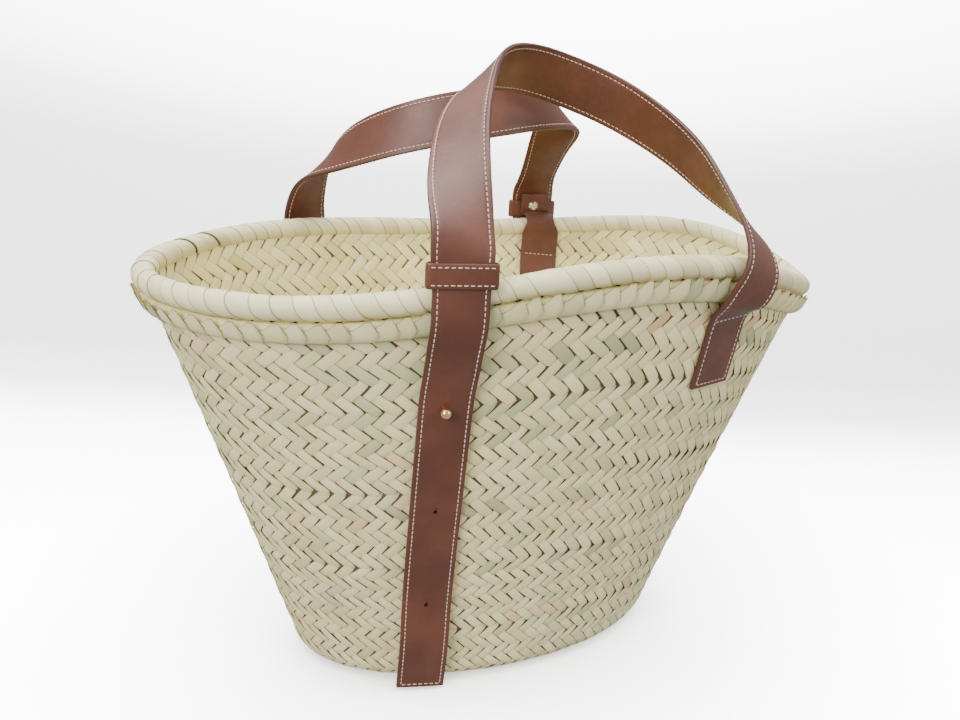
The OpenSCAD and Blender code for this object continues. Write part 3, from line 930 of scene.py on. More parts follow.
@dataclass
class PlaitedWall:
    """The wall: five courses of plait over a thin core."""

    shape: BasketShape
    heights: tuple[float, ...] = (0.0, 0.17, 0.36, 0.57, 0.78, 1.0)
    columns: tuple[int, ...] = (78, 84, 90, 94, 96)
    rows: int = 6
    core_depth: float = 1.25

    def ways(self) -> list[float]:
        """Where each course starts and ends, as a way up the profile."""
        s = self.shape
        low = s.foot_r * (math.pi / 2 - 1)
        return [0.0 if h == 0 else h * s.wall_h + low for h in self.heights]

    def build(self, scatter: Scatter, wear: Wardrobe) -> list[bpy.types.Object]:
        """Makes the five courses and the core, each over its own frame node.

        Args:
            scatter: sets the leaves.
            wear: the finishes.

        Returns:
            The pieces.
        """
        rng = np.random.default_rng(7)
        plait, ways = Plait(), self.ways()
        strip = plait.leaf()
        mid_a = (self.shape.mouth_a + self.shape.base_a) / 2
        mid_b = (self.shape.mouth_b + self.shape.base_b) / 2
        made = []
        for k, columns in enumerate(self.columns):
            parts = []
            for inner in (False, True):
                seed = 11 + 2 * k + inner
                finish_now = wear.inner_leaf if inner else wear.leaf
                flat = plait.flat(scatter, f"course_{k + 1}_{'in' if inner else 'out'}", strip, columns,
                                  self.rows, finish_now, rng, seed, 0.22)
                co = places(flat)
                top = ways[k + 1] + (0 if k < len(self.columns) - 1 else 6.0 if inner else 1.5)
                way = ways[k] + co[:, 1] / self.rows * (top - ways[k])
                drift = 0.35 * np.sin(co[:, 0] * 0.21 + seed * 1.7) + 0.2 * np.sin(co[:, 0] * 0.083 + k)
                way = way + drift * 1.6
                share = (-co[:, 0] if inner else co[:, 0]) / columns + 0.137 * k
                th = self.shape.angle(share, mid_a, mid_b)
                depth = co[:, 2] / MM + 0.15
                lump = 0.5 * np.sin(co[:, 0] * 1.3 + co[:, 1] * 2.1)
                lump = lump * np.sin(co[:, 1] * 0.9 + co[:, 0] * 0.31)
                inside = -self.shape.wall_t - depth + 0.3 + 0.2 * lump
                depth = inside if inner else depth + 0.3 * lump
                spots = self.shape.on_wall(th, np.clip(way, 0.0, None), depth)
                spots[:, 2] = np.maximum(spots[:, 2], 0.0)
                put(flat, spots * MM)
                parts.append(flat)
            piece = joined(f"plait_course_{k + 1}", parts)
            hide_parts(f"wall_course_{k + 1}")
            made.append(piece)
        bpy.data.objects.remove(strip)
        made.append(self._core(wear))
        return made

    def _core(self, wear: Wardrobe) -> bpy.types.Object:
        """The closed shell between the wall's two faces, dark with painted shade where it shows in the
        plait's gaps.

        Args:
            wear: the finishes.

        Returns:
            The piece.
        """
        s, around, up = self.shape, 180, 30
        th = np.linspace(0, 2 * math.pi, around, endpoint=False)
        ways = np.linspace(1.5, s.profile + 3.5, up)
        rings = [s.on_wall(th, np.full(around, w), np.full(around, -self.core_depth)) for w in ways]
        rings += [s.on_wall(th, np.full(around, w), np.full(around, -s.wall_t + self.core_depth - 0.2))
                  for w in ways[::-1]]
        verts = np.stack(rings, axis=1).reshape(-1, 3)
        piece = new_piece("wall_core", verts * MM, ring_faces(around, len(rings)))
        smooth_shading(piece)
        dress(piece, wear.core)
        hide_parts("plait_lacing")
        return piece


@dataclass
class BaseMat:
    """The plaited base, seen from below and from inside."""

    shape: BasketShape
    rows: int = 7
    column_width: float = 11.0

    def build(self, scatter: Scatter, wear: Wardrobe) -> bpy.types.Object:
        """Makes both faces and the core between them.

        Args:
            scatter: sets the leaves.
            wear: the finishes.

        Returns:
            The piece.
        """
        s = self.shape
        rng = np.random.default_rng(5)
        plait = Plait(crown=0.8)
        strip = plait.leaf()
        parts = [self._core(wear)]
        for inner in (False, True):
            a = s.base_a - s.foot_r - (5.0 if inner else 0.0)
            b = s.base_b - s.foot_r - (5.0 if inner else 0.0)
            deep = b / self.rows
            for row in range(self.rows):
                ring_a, ring_b = a - deep * (row + 0.5), b - deep * (row + 0.5)
                root = math.sqrt((3 * ring_a + ring_b) * (ring_a + 3 * ring_b))
                round_way = math.pi * (3 * (ring_a + ring_b) - root)
                columns = max(12, round(round_way / self.column_width))
                flat = plait.flat(scatter, "base_row", strip, columns, 1,
                                  wear.inner_leaf if inner else wear.leaf, rng, 60 + row, 0.1)
                co = places(flat)
                x = co[:, 0] * (1 if inner else -1)
                slide = np.clip(deep * (row + co[:, 1]), 0.0, b - 0.4)
                th = s.angle(x / columns, ring_a, max(ring_b, 4.0))
                z = s.mat_t + co[:, 2] / MM - 0.2 if inner else np.maximum(0.75 - co[:, 2] / MM, 0.0)
                put(flat, np.stack([(a - slide) * np.cos(th), (b - slide) * np.sin(th), z], axis=-1) * MM)
                parts.append(flat)
        bpy.data.objects.remove(strip)
        piece = joined("base_plait", parts)
        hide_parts("base_mat")
        return piece

    def _core(self, wear: Wardrobe) -> bpy.types.Object:
        """A closed oval slab inside the mat, dark with painted shade where it shows in the gaps.

        Args:
            wear: the finishes.

        Returns:
            The slab.
        """
        s, around = self.shape, 120
        th = np.linspace(0, 2 * math.pi, around, endpoint=False)
        inset, skin = 1.5, 1.4
        a, b = s.base_a - s.foot_r - inset, s.base_b - s.foot_r - inset
        rings = [np.stack([a * np.cos(th), b * np.sin(th), np.full(around, z)], axis=-1)
                 for z in (skin, s.mat_t - skin)]
        verts = np.vstack(rings)
        piece = new_piece("base_core", verts * MM, prism_faces(around))
        dress(piece, wear.core)
        return piece


@dataclass
class RimRoll:
    """The roll of wrapped leaf on the rim, and the folded band under it."""

    shape: BasketShape
    wraps: int = 102
    band_leaves: int = 100
    overlap: float = 0.66

    def build(self, scatter: Scatter, wear: Wardrobe) -> list[bpy.types.Object]:
        """Makes the roll and the band.

        Args:
            scatter: sets the leaves.
            wear: the finishes.

        Returns:
            The two pieces.
        """
        roll, band = self._roll(scatter, wear), self._band(scatter, wear)
        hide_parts("rim_wrap", "rim_core")
        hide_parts("rim_band")
        return [roll, band]

    def _flat(self, scatter: Scatter, name: str, item: bpy.types.Object, count: int,
              material: bpy.types.Material, seed: int, turn: float) -> bpy.types.Object:
        """Items in one long row, one unit apart, with uneven steps.

        Args:
            scatter: sets the items.
            name: the name of the row.
            item: what is repeated.
            count: how many there are.
            material: their finish.
            seed: the seed of their unevenness.
            turn: how far each may be turned.

        Returns:
            The row, its height in metres.
        """
        rng = np.random.default_rng(seed)
        x = np.arange(count) + rng.uniform(-0.20, 0.20, count)
        points = np.stack([x, np.zeros(count), np.zeros(count)], axis=-1)
        side = np.tile([1.0, 0.0, 0.0], (count, 1))
        up = np.tile([0.0, 0.0, 1.0], (count, 1))
        return scatter.lay(name, item, points, side, up, material, shade=rng.uniform(0, 1, count),
                           turn=turn, spread=0.06, seed=seed)

    def _roll(self, scatter: Scatter, wear: Wardrobe) -> bpy.types.Object:
        """Leaf strips wound round the roll, each lapping the last.

        Args:
            scatter: sets the leaves.
            wear: the finishes.

        Returns:
            The roll with its core.
        """
        s = self.shape
        turn_steps, across = 25, 4
        t, w = np.meshgrid(np.linspace(0, 1, turn_steps), np.linspace(-1, 1, across), indexing="ij")
        lift = 0.10 + 0.75 * (w + 1) / 2 + 0.55 * (1 - w ** 2)
        top = np.stack([w * self.overlap, t, lift * MM], axis=-1)
        # the sheet's length runs round the roll, so its grid is turned to keep its face outwards
        item = thin_sheet("rim_wrap_leaf", top[:, ::-1], 0.4 * MM)
        flat = self._flat(scatter, "rim_roll", item, self.wraps, wear.roll_leaf, 31, 0.0)
        co = places(flat)
        turn = co[:, 1]
        ang = -1.9 + turn * 2 * math.pi
        wobble = 0.10 * np.sin(co[:, 0] * 0.7 + turn * 5.0)
        x = co[:, 0] - (turn - 0.35) * 2.0 + wobble
        th = s.angle(x / self.wraps, s.mouth_a, s.mouth_b)
        r = s.roll_r - 1.3 + co[:, 2] / MM + 0.25 * np.sin(x * 0.9) * np.sin(x * 0.23)
        put(flat, s.roll(th, r * np.cos(ang), r * np.sin(ang)) * MM)
        bpy.data.objects.remove(item)
        smooth_shading(flat, 55.0)
        core = self._tube(s.roll_r - 1.6)
        # painted shade: the dark core shows between the wraps as their shadow
        dress(core, wear.core)
        return joined("rim_roll", [flat, core])

    def _tube(self, radius: float) -> bpy.types.Object:
        """The plain closed tube inside the roll.

        Args:
            radius: its radius, in millimetres.

        Returns:
            The tube.
        """
        s, around, sides = self.shape, 180, 16
        th = np.repeat(np.linspace(0, 2 * math.pi, around, endpoint=False), sides)
        ang = np.tile(np.linspace(0, 2 * math.pi, sides, endpoint=False), around)
        verts = s.roll(th, radius * np.cos(ang), radius * np.sin(ang))
        piece = new_piece("roll_core", verts * MM, ring_faces(around, sides))
        smooth_shading(piece)
        return piece

    def _band(self, scatter: Scatter, wear: Wardrobe) -> bpy.types.Object:
        """Folded leaves whose upper corners stand like saw teeth.

        Args:
            scatter: sets the leaves.
            wear: the finishes.

        Returns:
            The band with its core.
        """
        s = self.shape
        wide, tall = 7, 7
        u, v = np.meshgrid(np.linspace(-1, 1, wide), np.linspace(0, 1, tall), indexing="ij")
        peak = np.interp(u[:, 0], [-1.0, -0.25, 0.45, 0.72, 1.0], [0.56, 0.70, 1.06, 1.0, 0.50])[:, None]
        height = v * peak
        lift = 0.15 + 1.7 * (u + 1) / 2
        top = np.stack([u * 0.80 + 0.25 * (v - 0.5), height, lift * MM], axis=-1)
        item = thin_sheet("band_leaf", top, 0.5 * MM)
        flat = self._flat(scatter, "rim_band_fold", item, self.band_leaves, wear.leaf, 47, 0.035)
        co = places(flat)
        th = s.angle(co[:, 0] / self.band_leaves, s.mouth_a, s.mouth_b)
        v_now = np.clip(co[:, 1], -0.1, 1.1)
        bulge = np.interp(v_now, [-0.1, 0.0, 0.12, 0.4, 0.7, 0.9, 1.0, 1.1],
                          [0.0, 1.6, 4.4, 6.8, 7.5, 7.9, 8.2, 8.3])
        way = s.profile - s.band_h * (1 - v_now) + 3.4 * v_now
        put(flat, s.on_wall(th, way, bulge - 0.3 + co[:, 2] / MM) * MM)
        bpy.data.objects.remove(item)
        smooth_shading(flat, 55.0)
        core = self._band_core()
        dress(core, wear.leaf)
        return joined("rim_band_fold", [flat, core])

    def _band_core(self) -> bpy.types.Object:
        """The closed ring that the folded leaves lie on."""
        s, around = self.shape, 240
        section = [(s.band_h, 0.3), (s.band_h, 1.6), (s.band_h * 0.86, 3.9), (s.band_h * 0.6, 6.1),
                   (s.band_h * 0.3, 6.5), (2.0, 5.6), (0.4, 3.2), (0.4, 0.3)]
        m = len(section)
        th = np.repeat(np.linspace(0, 2 * math.pi, around, endpoint=False), m)
        way = np.tile([s.profile - q[0] for q in section], around)
        out = np.tile([q[1] for q in section], around)
        verts = s.on_wall(th, way, out)
        piece = new_piece("band_core", verts * MM, ring_faces(around, m))
        smooth_shading(piece, 60.0)
        leaf = np.zeros((len(verts), 3))
        note(piece, "leaf", leaf)
        note(piece, "tone", np.full(len(verts), 0.45))
        note(piece, "shade", np.full(len(verts), 0.4))
        return piece


# ---------------------------------------------------------------- leather straps


def way_along(path: np.ndarray) -> np.ndarray:
    """How far along a line each of its points lies."""
    return np.concatenate([[0], np.cumsum(np.linalg.norm(np.diff(path, axis=0), axis=1))])


def read_off(marks: np.ndarray, way: np.ndarray, rows: np.ndarray) -> np.ndarray:
    """Rows of three values, read off at marks along their way."""
    return np.stack([np.interp(marks, way, rows[:, k]) for k in range(3)], axis=-1)


def strap_axes(path: np.ndarray, wide: np.ndarray) -> tuple[np.ndarray, np.ndarray, np.ndarray]:
    """The directions ahead, out and across at each step of a strap.

    Args:
        path: its middle line.
        wide: the direction of its width.

    Returns:
        The three directions, each a row to a step.
    """
    ahead = unit(np.gradient(path, axis=0))
    out = unit(np.cross(wide, ahead))
    return ahead, out, unit(np.cross(ahead, out))


class Face(Enum):
    """The parts of a strap, as the numbers of their finishes."""

    OUTER = 0
    EDGE = 1
    LINING = 2


@dataclass
class StrapRoute:
    """Where a strap runs: from its free tail, up and over to its sewn end, in millimetres."""

    shape: BasketShape
    side: Side
    width: float = 40.0
    low_width: float = 36.0
    thick: float = 3.2
    x_top: float = 97.0
    x_foot: float = 82.0
    patch_x: float = 120.0
    patch_len: float = 57.0
    stud_drop: float = 76.0
    tail_drop: float = 87.0
    keeper_low: float = 7.5
    keeper_h: float = 16.0
    flex_up: float = 36.0
    patch_drop: float = 33.0
    tail_foot: float = 4.0
    patch_bend_up: float = 5.0
    patch_bend_out: float = 11.0
    hole_pitch: float = 80.0
    clear: float = 3.2

    FRONT_ARCH = ((0, 0, 0), (0.01, 39, 0.31), (0.06, 80, 0.61), (0.18, 124, 0.87), (0.37, 152, 0.99),
                  (0.57, 153, 1), (0.73, 129, 0.94), (0.85, 87, 0.8), (0.92, 44, 0.61), (0.98, 8, 0.42),
                  (1, -8, 0.24), (1, 0, 0))
    FRONT_WIDTH = ((1, 0, 0), (0.8, -0.2, 0.6), (0.6, -0.6, 0.6), (0.3, -0.5, 0.8), (-0.1, -0.5, 0.9),
                   (-0.1, -0.4, 0.9), (-0.2, -0.5, 0.9), (-0.2, -0.8, 0.5), (-0.4, -0.9, 0.2),
                   (-0.9, -0.5, 0.1), (-1, -0.27, 0), (-1, 0, 0))
    REAR_ARCH = ((0, 0, 0), (-0.02, 35, 0.39), (0.01, 79, 0.73), (0.15, 109, 0.89), (0.37, 118, 0.97),
                 (0.56, 107, 1), (0.72, 80, 0.97), (0.84, 43, 0.87), (0.91, 15, 0.73), (0.95, -3, 0.52),
                 (0.98, -9, 0.29), (1, 0, 0))
    REAR_WIDTH = ((1, 0, 0), (0.9, 0, 0.4), (0.4, -0.4, 0.8), (0, -0.4, 0.9), (-0.1, -0.4, 0.9),
                  (-0.1, -0.4, 0.9), (-0.2, -0.6, 0.8), (-0.6, -0.5, 0.6), (-0.9, -0.4, 0.2),
                  (-0.9, -0.3, 0), (-1, -0.25, 0), (-1, 0, 0))

    @property
    def sign(self) -> int:
        """The sign of this side's Y."""
        return self.side.value

    @property
    def rise(self) -> float:
        """Height of the arch above its hinge line."""
        return 128.0 if self.side is Side.FRONT else 101.0

    @property
    def off(self) -> float:
        """How far the strap's middle lies out of the roll's middle."""
        return self.shape.roll_r + 0.8 + self.thick / 2

    def roll_at(self, x: float, out: float, up: float) -> np.ndarray:
        """A point near the roll, by its distance along the basket."""
        s = self.shape
        c = x / s.mouth_a
        th = math.atan2(self.sign * math.sqrt(1 - c * c), c)
        p = s.roll(th, 0.0, up)
        return np.array([s.mouth_dx + x, p[1] + self.sign * out, p[2]])

    def wall_at(self, x: float, z: float, out: float) -> np.ndarray:
        """A point of the wall at a height, and level out of it.

        Args:
            x: its distance along the basket.
            z: its height.
            out: how far out of the wall it lies.

        Returns:
            The point, in millimetres.
        """
        s = self.shape
        c = x / s.mouth_a
        h = min(1.0, max(0.0, z / (s.wall_h + s.rise(math.atan2(self.sign * math.sqrt(1 - c * c), c)))))
        c = x / (s.base_a + (s.mouth_a - s.top_in_a - s.base_a) * h)
        th = math.atan2(self.sign * math.sqrt(1 - c * c), c)
        inset = 0.0 if z >= s.foot_r else s.foot_r - math.sqrt(s.foot_r ** 2 - (s.foot_r - z) ** 2)
        p = s.wall(th, h, -inset)
        return np.array([s.mouth_dx * h + x, p[1] + self.sign * out, z])

    @property
    def keeper_x(self) -> float:
        """The adjustable end's place along the basket."""
        return self.sign * self.x_top

    def roll_z(self, x: float) -> float:
        """Height of the roll's middle."""
        return float(self.roll_at(x, 0, 0)[2])

    def along(self, x: float) -> np.ndarray:
        """The level direction of the strap's width, along the rim."""
        v = self.roll_at(x + 1, 0, 0) - self.roll_at(x - 1, 0, 0)
        return -self.sign * unit(np.array([v[0], v[1], 0.0]))

    def run(self, drop: float, clear: float) -> np.ndarray:
        """A point on the wall below the keeper, clear of the wall."""
        z = self.roll_z(self.keeper_x) - drop
        x = self.sign * (self.x_foot + (self.x_top - self.x_foot) * min(1.0, max(0.0, z / self.shape.rim_h)))
        return self.wall_at(x, z, clear)

    def rim(self, drop: float) -> np.ndarray:
        """A point of the strap's middle at the roll."""
        return self.roll_at(self.keeper_x, self.off, -drop)

    def patch(self, drop: float, clear: float) -> np.ndarray:
        """A point of the sewn patch."""
        x = -self.sign * self.patch_x
        return self.wall_at(x, self.roll_z(x) - self.patch_drop - drop, clear)

    @property
    def keeper_flex(self) -> np.ndarray:
        """Where the strap bends over the keeper."""
        return self.roll_at(self.keeper_x, self.off, self.flex_up)

    @property
    def patch_flex(self) -> np.ndarray:
        """Where the strap bends over its patch."""
        return self.patch(-self.patch_bend_up, self.clear + self.patch_bend_out)

    @property
    def tail_flex(self) -> np.ndarray:
        """Where the tail bends under the stud."""
        return self.run(self.tail_drop, self.clear)

    def layout(self) -> tuple[np.ndarray, np.ndarray]:
        """The strap's middle line and the direction of its width, in close steps."""
        u = self.along(self.keeper_x)
        tail_len = self.roll_z(self.keeper_x) - self.tail_foot
        tail = smooth([self.run(tail_len * q, self.clear + c - 4) for q, c in
                       ((1, 15), (0.87, 10), (0.76, 6.5), (0.62, 5), (0.46, 4.5))]
                      + [self.run(self.tail_drop + 20, self.clear + 0.2),
                         self.run(self.tail_drop, self.clear)], 8)
        run = smooth([self.run(self.tail_drop, self.clear), self.run(self.stud_drop, self.clear),
                      self.run(self.stud_drop - 12, self.clear + 0.4), self.run(50, self.clear + 4),
                      self.rim(33) + np.array([0, -self.sign * 6, 0]), self.rim(18), self.rim(2),
                      self.rim(-self.keeper_low - self.keeper_h - 1), self.rim(-self.flex_up)], 8)
        along = unit(self.patch_flex - self.keeper_flex)
        inward = unit(np.cross(UP, along))
        up = np.cross(along, inward)
        span = float(np.linalg.norm(self.patch_flex - self.keeper_flex))
        front = self.side is Side.FRONT
        marks = self.FRONT_ARCH if front else self.REAR_ARCH
        turns = self.FRONT_WIDTH if front else self.REAR_WIDTH
        arch = smooth([self.keeper_flex + along * q[0] * span + inward * q[1] + up * q[2] * self.rise
                       for q in marks], 12)
        arch_w = smooth([along * q[0] + inward * q[1] + up * q[2] for q in turns], 12)
        patch = smooth([self.patch_flex] + [self.patch(d, self.clear - 0.5) for d in
                                            (0, self.patch_len / 2, self.patch_len)], 8)
        v = -self.along(-self.sign * self.patch_x)
        patch_w = np.tile(v, (len(patch), 1))
        path = np.vstack([tail[:-1], run[:-1], arch[:-1], patch])
        wide = np.vstack([np.tile(u, (len(tail) + len(run) - 2, 1)), arch_w[:-1], patch_w])
        return self._even(path, unit(wide))

    def _even(self, path: np.ndarray, wide: np.ndarray,
              step: float = 3.0) -> tuple[np.ndarray, np.ndarray]:
        """The same line in even steps, with its kinks eased.

        Args:
            path: its points.
            wide: the direction of the width at each.
            step: how far apart the steps are.

        Returns:
            The new points and directions.
        """
        way = way_along(path)
        marks = np.linspace(0, way[-1], int(way[-1] / step) + 1)
        p, w = read_off(marks, way, path), read_off(marks, way, wide)
        kernel = np.exp(-0.5 * (np.arange(-6, 7) / 2.4) ** 2)
        kernel /= kernel.sum()

        def eased(rows: np.ndarray, times: int) -> np.ndarray:
            """Rows averaged with their neighbours, the ends kept."""
            for _ in range(times):
                long = np.vstack([2 * rows[0] - rows[6:0:-1], rows, 2 * rows[-1] - rows[-2:-8:-1]])
                rows = np.stack([np.convolve(long[:, k], kernel, "valid") for k in range(3)], axis=-1)
            return rows

        return eased(p, 1), unit(eased(w, 2))


def sweep(name: str, path: np.ndarray, wide: np.ndarray, outline: np.ndarray, scale: np.ndarray,
          kinds: Sequence[int]) -> bpy.types.Object:
    """A closed bar with one outline along a path.

    Args:
        name: its name.
        path: its middle line, in millimetres.
        wide: the direction of its width at each step.
        outline: its outline, as width and height, the outer face first.
        scale: how far the outline is scaled at each step, in width and height.
        kinds: the finish number of each side of the outline.

    Returns:
        The bar, with its place across and along stored as "strap".
    """
    n, m = len(path), len(outline)
    _, out, across = strap_axes(path, wide)
    x = outline[None, :, 0] * scale[:, :1]
    y = outline[None, :, 1] * scale[:, 1:]
    verts = path[:, None] + across[:, None] * x[..., None] + out[:, None] * y[..., None]
    faces = [[i * m + j, i * m + (j + 1) % m, (i + 1) * m + (j + 1) % m, (i + 1) * m + j]
             for i in range(n - 1) for j in range(m)]
    faces += [list(range(m - 1, -1, -1)), [(n - 1) * m + j for j in range(m)]]
    piece = new_piece(name, verts.reshape(-1, 3) * MM, faces)
    numbers = list(kinds) * (n - 1) + [Face.EDGE.value] * 2
    piece.data.polygons.foreach_set("material_index", numbers)
    way = way_along(path)
    half = np.abs(outline[:, 0]).max()
    where = np.stack([np.broadcast_to(outline[None, :, 0] / half, (n, m)),
                      np.broadcast_to(way[:, None] * MM, (n, m)), np.zeros((n, m))], axis=-1)
    note(piece, "strap", where.reshape(-1, 3))
    smooth_shading(piece, 48.0)
    return piece


def strap_outline(half: float, thick: float, groove_at: float, groove: float) -> tuple[np.ndarray, list[int]]:
    """A strap's outline, with rounded edges and a shallow groove along each stitch line.

    Args:
        half: half the strap's width.
        thick: its thickness.
        groove_at: how far the grooves lie from the middle.
        groove: their depth.

    Returns:
        The outline, and the finish number of each of its sides.
    """
    t, r = thick / 2, min(0.9, thick * 0.28)
    face = [(-half + r, t), (-half + 1.9, t), (-groove_at - 0.8, t), (-groove_at, t - groove),
            (-groove_at + 0.8, t), (-groove_at + 2.5, t + 0.06), (0, t + 0.10),
            (groove_at - 2.5, t + 0.06), (groove_at - 0.8, t), (groove_at, t - groove),
            (groove_at + 0.8, t), (half - 1.9, t), (half - r, t)]
    side = [(half - 0.25 * r, t - 0.3 * r), (half, t - r), (half, 0.12), (half - 0.16, 0.0), (half, -0.12),
            (half, -t + r), (half - 0.25 * r, -t + 0.3 * r)]
    back = [(-x, -y) for x, y in face]
    other = [(-x, -y) for x, y in side]
    rows = face + side + back + other
    kinds = ([Face.OUTER.value] * (len(face) - 1) + [Face.EDGE.value] * (len(side) + 1)
             + [Face.LINING.value] * (len(back) - 1) + [Face.EDGE.value] * (len(other) + 1))
    return np.array(rows), kinds


@dataclass
class Stitching:
    """Running stitches, set along lines on the leather."""

    scatter: Scatter
    wear: Wardrobe
    pitch: float = 3.7
    length: float = 2.75
    radius: float = 0.40
    item: bpy.types.Object = field(init=False)

    def __post_init__(self) -> None:
        """Makes the one stitch that is repeated."""
        sides = 6
        rings = [(-0.5, 0.35, -0.30), (-0.40, 0.9, 0.0), (0.0, 1.0, 0.10), (0.40, 0.9, 0.0),
                 (0.5, 0.35, -0.30)]
        verts = []
        for x, size, lift in rings:
            for k in range(sides):
                q = 2 * math.pi * k / sides
                verts.append((x * self.length * MM, math.cos(q) * size * self.radius * MM,
                              (math.sin(q) * size + lift) * self.radius * MM))
        faces = [[i * sides + k, i * sides + (k + 1) % sides, (i + 1) * sides + (k + 1) % sides,
                  (i + 1) * sides + k] for i in range(len(rings) - 1) for k in range(sides)]
        faces += [list(range(sides - 1, -1, -1)), [(len(rings) - 1) * sides + k for k in range(sides)]]
        self.item = new_piece("stitch", np.array(verts), faces)
        smooth_shading(self.item, 70.0)

    def sew(self, name: str, line: np.ndarray, out: np.ndarray, seed: int) -> bpy.types.Object:
        """Stitches along a line.

        Args:
            name: the name of the seam.
            line: its points, in millimetres.
            out: the way out of the leather at each of them.
            seed: the seed of its unevenness.

        Returns:
            The stitches as one object.
        """
        way = way_along(line)
        count = max(2, int(way[-1] / self.pitch))
        marks = (np.arange(count) + 0.5) * way[-1] / count
        p = read_off(marks, way, line)
        o = unit(read_off(marks, way, out))
        ahead = read_off(marks, way, np.gradient(line, axis=0))
        return self.scatter.lay(name, self.item, p * MM, unit(ahead), o, self.wear.thread,
                                turn=0.05, spread=0.05, seed=seed)


@dataclass
class StrapHandle:
    """One leather strap: tail, run, arch and patch, with its keeper and inner tab."""

    route: StrapRoute
    wear: Wardrobe
    stitching: Stitching
    stitch_in: float = 3.6
    groove: float = 0.28

    def build(self) -> list[bpy.types.Object]:
        """Makes the strap's pieces, and sets the keeper and the tab on the basket's body."""
        r = self.route
        label = r.side.label
        path, wide = r.layout()

        def near(p: np.ndarray) -> int:
            """The step of the path that lies nearest to a point."""
            return int(np.argmin(np.linalg.norm(path - p, axis=1)))

        stud = near(r.run(r.stud_drop, r.clear))
        over, under = near(r.keeper_flex), near(r.patch_flex)
        crest = (over + under) // 2
        handle, tail_body = f"{label}_handle", f"{label}_tail"
        tail = self._stretch(f"{label}_strap_tail", path[:stud + 1], wide[:stud + 1], 0, ends=(True, False))
        self._blend(tail, "basket", tail_body, r.tail_flex, path[stud], path[max(0, stud - 9)],
                    0.008, 0.010)
        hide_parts(f"{label}_tail_outer", f"{label}_tail_lining")
        left = self._stretch(f"{label}_strap_run", path[stud:crest + 1], wide[stud:crest + 1], 1,
                             ends=(False, False))
        self._blend(left, "basket", handle, r.keeper_flex, r.keeper_flex - UP, r.keeper_flex + UP,
                    0.010, 0.016)
        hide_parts(f"{label}_run_outer", f"{label}_run_lining", f"{label}_arch_outer")
        right = self._stretch(f"{label}_strap_patch", path[crest:], wide[crest:], 2, ends=(False, True))
        self._blend(right, "basket", handle, r.patch_flex, r.patch_flex - UP, r.patch_flex + UP, 0.004, 0.014)
        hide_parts(f"{label}_patch_outer", f"{label}_patch_lining", f"{label}_arch_lining")
        keeper, tab = self._keeper(), self._tab()
        return [tail, left, right, keeper, tab]

    @staticmethod
    def _blend(piece: bpy.types.Object, still: str, moving: str, hinge: np.ndarray, before: np.ndarray,
               after: np.ndarray, reach_a: float, reach_b: float) -> None:
        """Bakes a piece's place into its mesh; the ends of a bend at a hinge between a still and a moving
        body are worked out, but no bend is set.

        Args:
            piece: the stretch of strap.
            still: the body at its still end; not used.
            moving: the body at its moving end; not used.
            hinge: where it bends, in millimetres.
            before: a place on the still side.
            after: a place on the moving side.
            reach_a: how far the bend reaches to the still side, in metres.
            reach_b: how far it reaches to the moving side, in metres.
        """
        a, b = unit(before - hinge), unit(after - hinge)
        start = hinge * MM + a * reach_a
        end = hinge * MM + b * reach_b
        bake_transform(piece)

    def _stretch(self, name: str, path: np.ndarray, wide: np.ndarray, part: int,
                 ends: tuple[bool, bool]) -> bpy.types.Object:
        """A stretch of strap with its stitches.

        Args:
            name: its name.
            path: its middle line.
            wide: the direction of its width.
            part: 0 for the tail, 1 for the run, 2 for the sewn end.
            ends: whether its first and last end are cut ends with a row of stitches.

        Returns:
            The piece.
        """
        r = self.route
        half = r.width / 2
        seam = half - self.stitch_in
        outline, kinds = strap_outline(half, r.thick, seam, self.groove)
        scale = np.ones((len(path), 2))
        if part < 2:
            low = np.clip((path[:, 2] - r.roll_z(r.keeper_x) - 5) / 25, 0, 1)
            scale[:, 0] = (r.low_width + (r.width - r.low_width) * low) / r.width
        ahead = unit(np.gradient(path, axis=0))
        if ends[0]:
            path = np.vstack([path[0] - ahead[0] * 0.5, path])
            wide = np.vstack([wide[:1], wide])
            scale = np.vstack([[0.985 * scale[0, 0], 0.55], scale])
        if ends[1]:
            path = np.vstack([path, path[-1] + ahead[-1] * 0.5])
            wide = np.vstack([wide, wide[-1:]])
            scale = np.vstack([scale, [0.985, 0.55]])
        body = sweep(name, path, wide, outline, scale, kinds)
        if part == 0:
            self._punch(body)
        dress(body, self.wear.leather, self.wear.edge, self.wear.lining)
        _, out, across = strap_axes(path, wide)
        seed = 200 + 40 * part + (20 if r.side is Side.REAR else 0)
        level = r.thick / 2 - self.groove + 0.22
        trim = 2 if ends[0] else 0
        stop = len(path) - (2 if ends[1] else 0)
        parts = [body]
        for k, (edge, face) in enumerate(((-1, 1), (1, 1), (-1, -1), (1, -1))):
            line = path + across * edge * seam * scale[:, :1] + out * face * level
            parts.append(self.stitching.sew(f"{name}_seam", line[trim:stop], out[trim:stop] * face, seed + k))
        rows = []
        if ends[0]:
            rows.append(2)
        if ends[1]:
            rows += [len(path) - 3, self._patch_top_row(path)]
        for k, i in enumerate(rows):
            steps = np.linspace(-seam, seam, 12)[:, None] * scale[i, 0]
            lift = (r.thick / 2 + 0.12) * out[i]
            line = path[i] + across[i] * steps + lift
            parts.append(self.stitching.sew(f"{name}_end", line, np.tile(out[i], (12, 1)), seed + 8 + k))
        return joined(name, parts)

    def _patch_top_row(self, path: np.ndarray) -> int:
        """The step at the upper row of stitches that holds the patch."""
        r = self.route
        return int(np.argmin(np.linalg.norm(path - r.patch(3.0, r.clear), axis=1)))

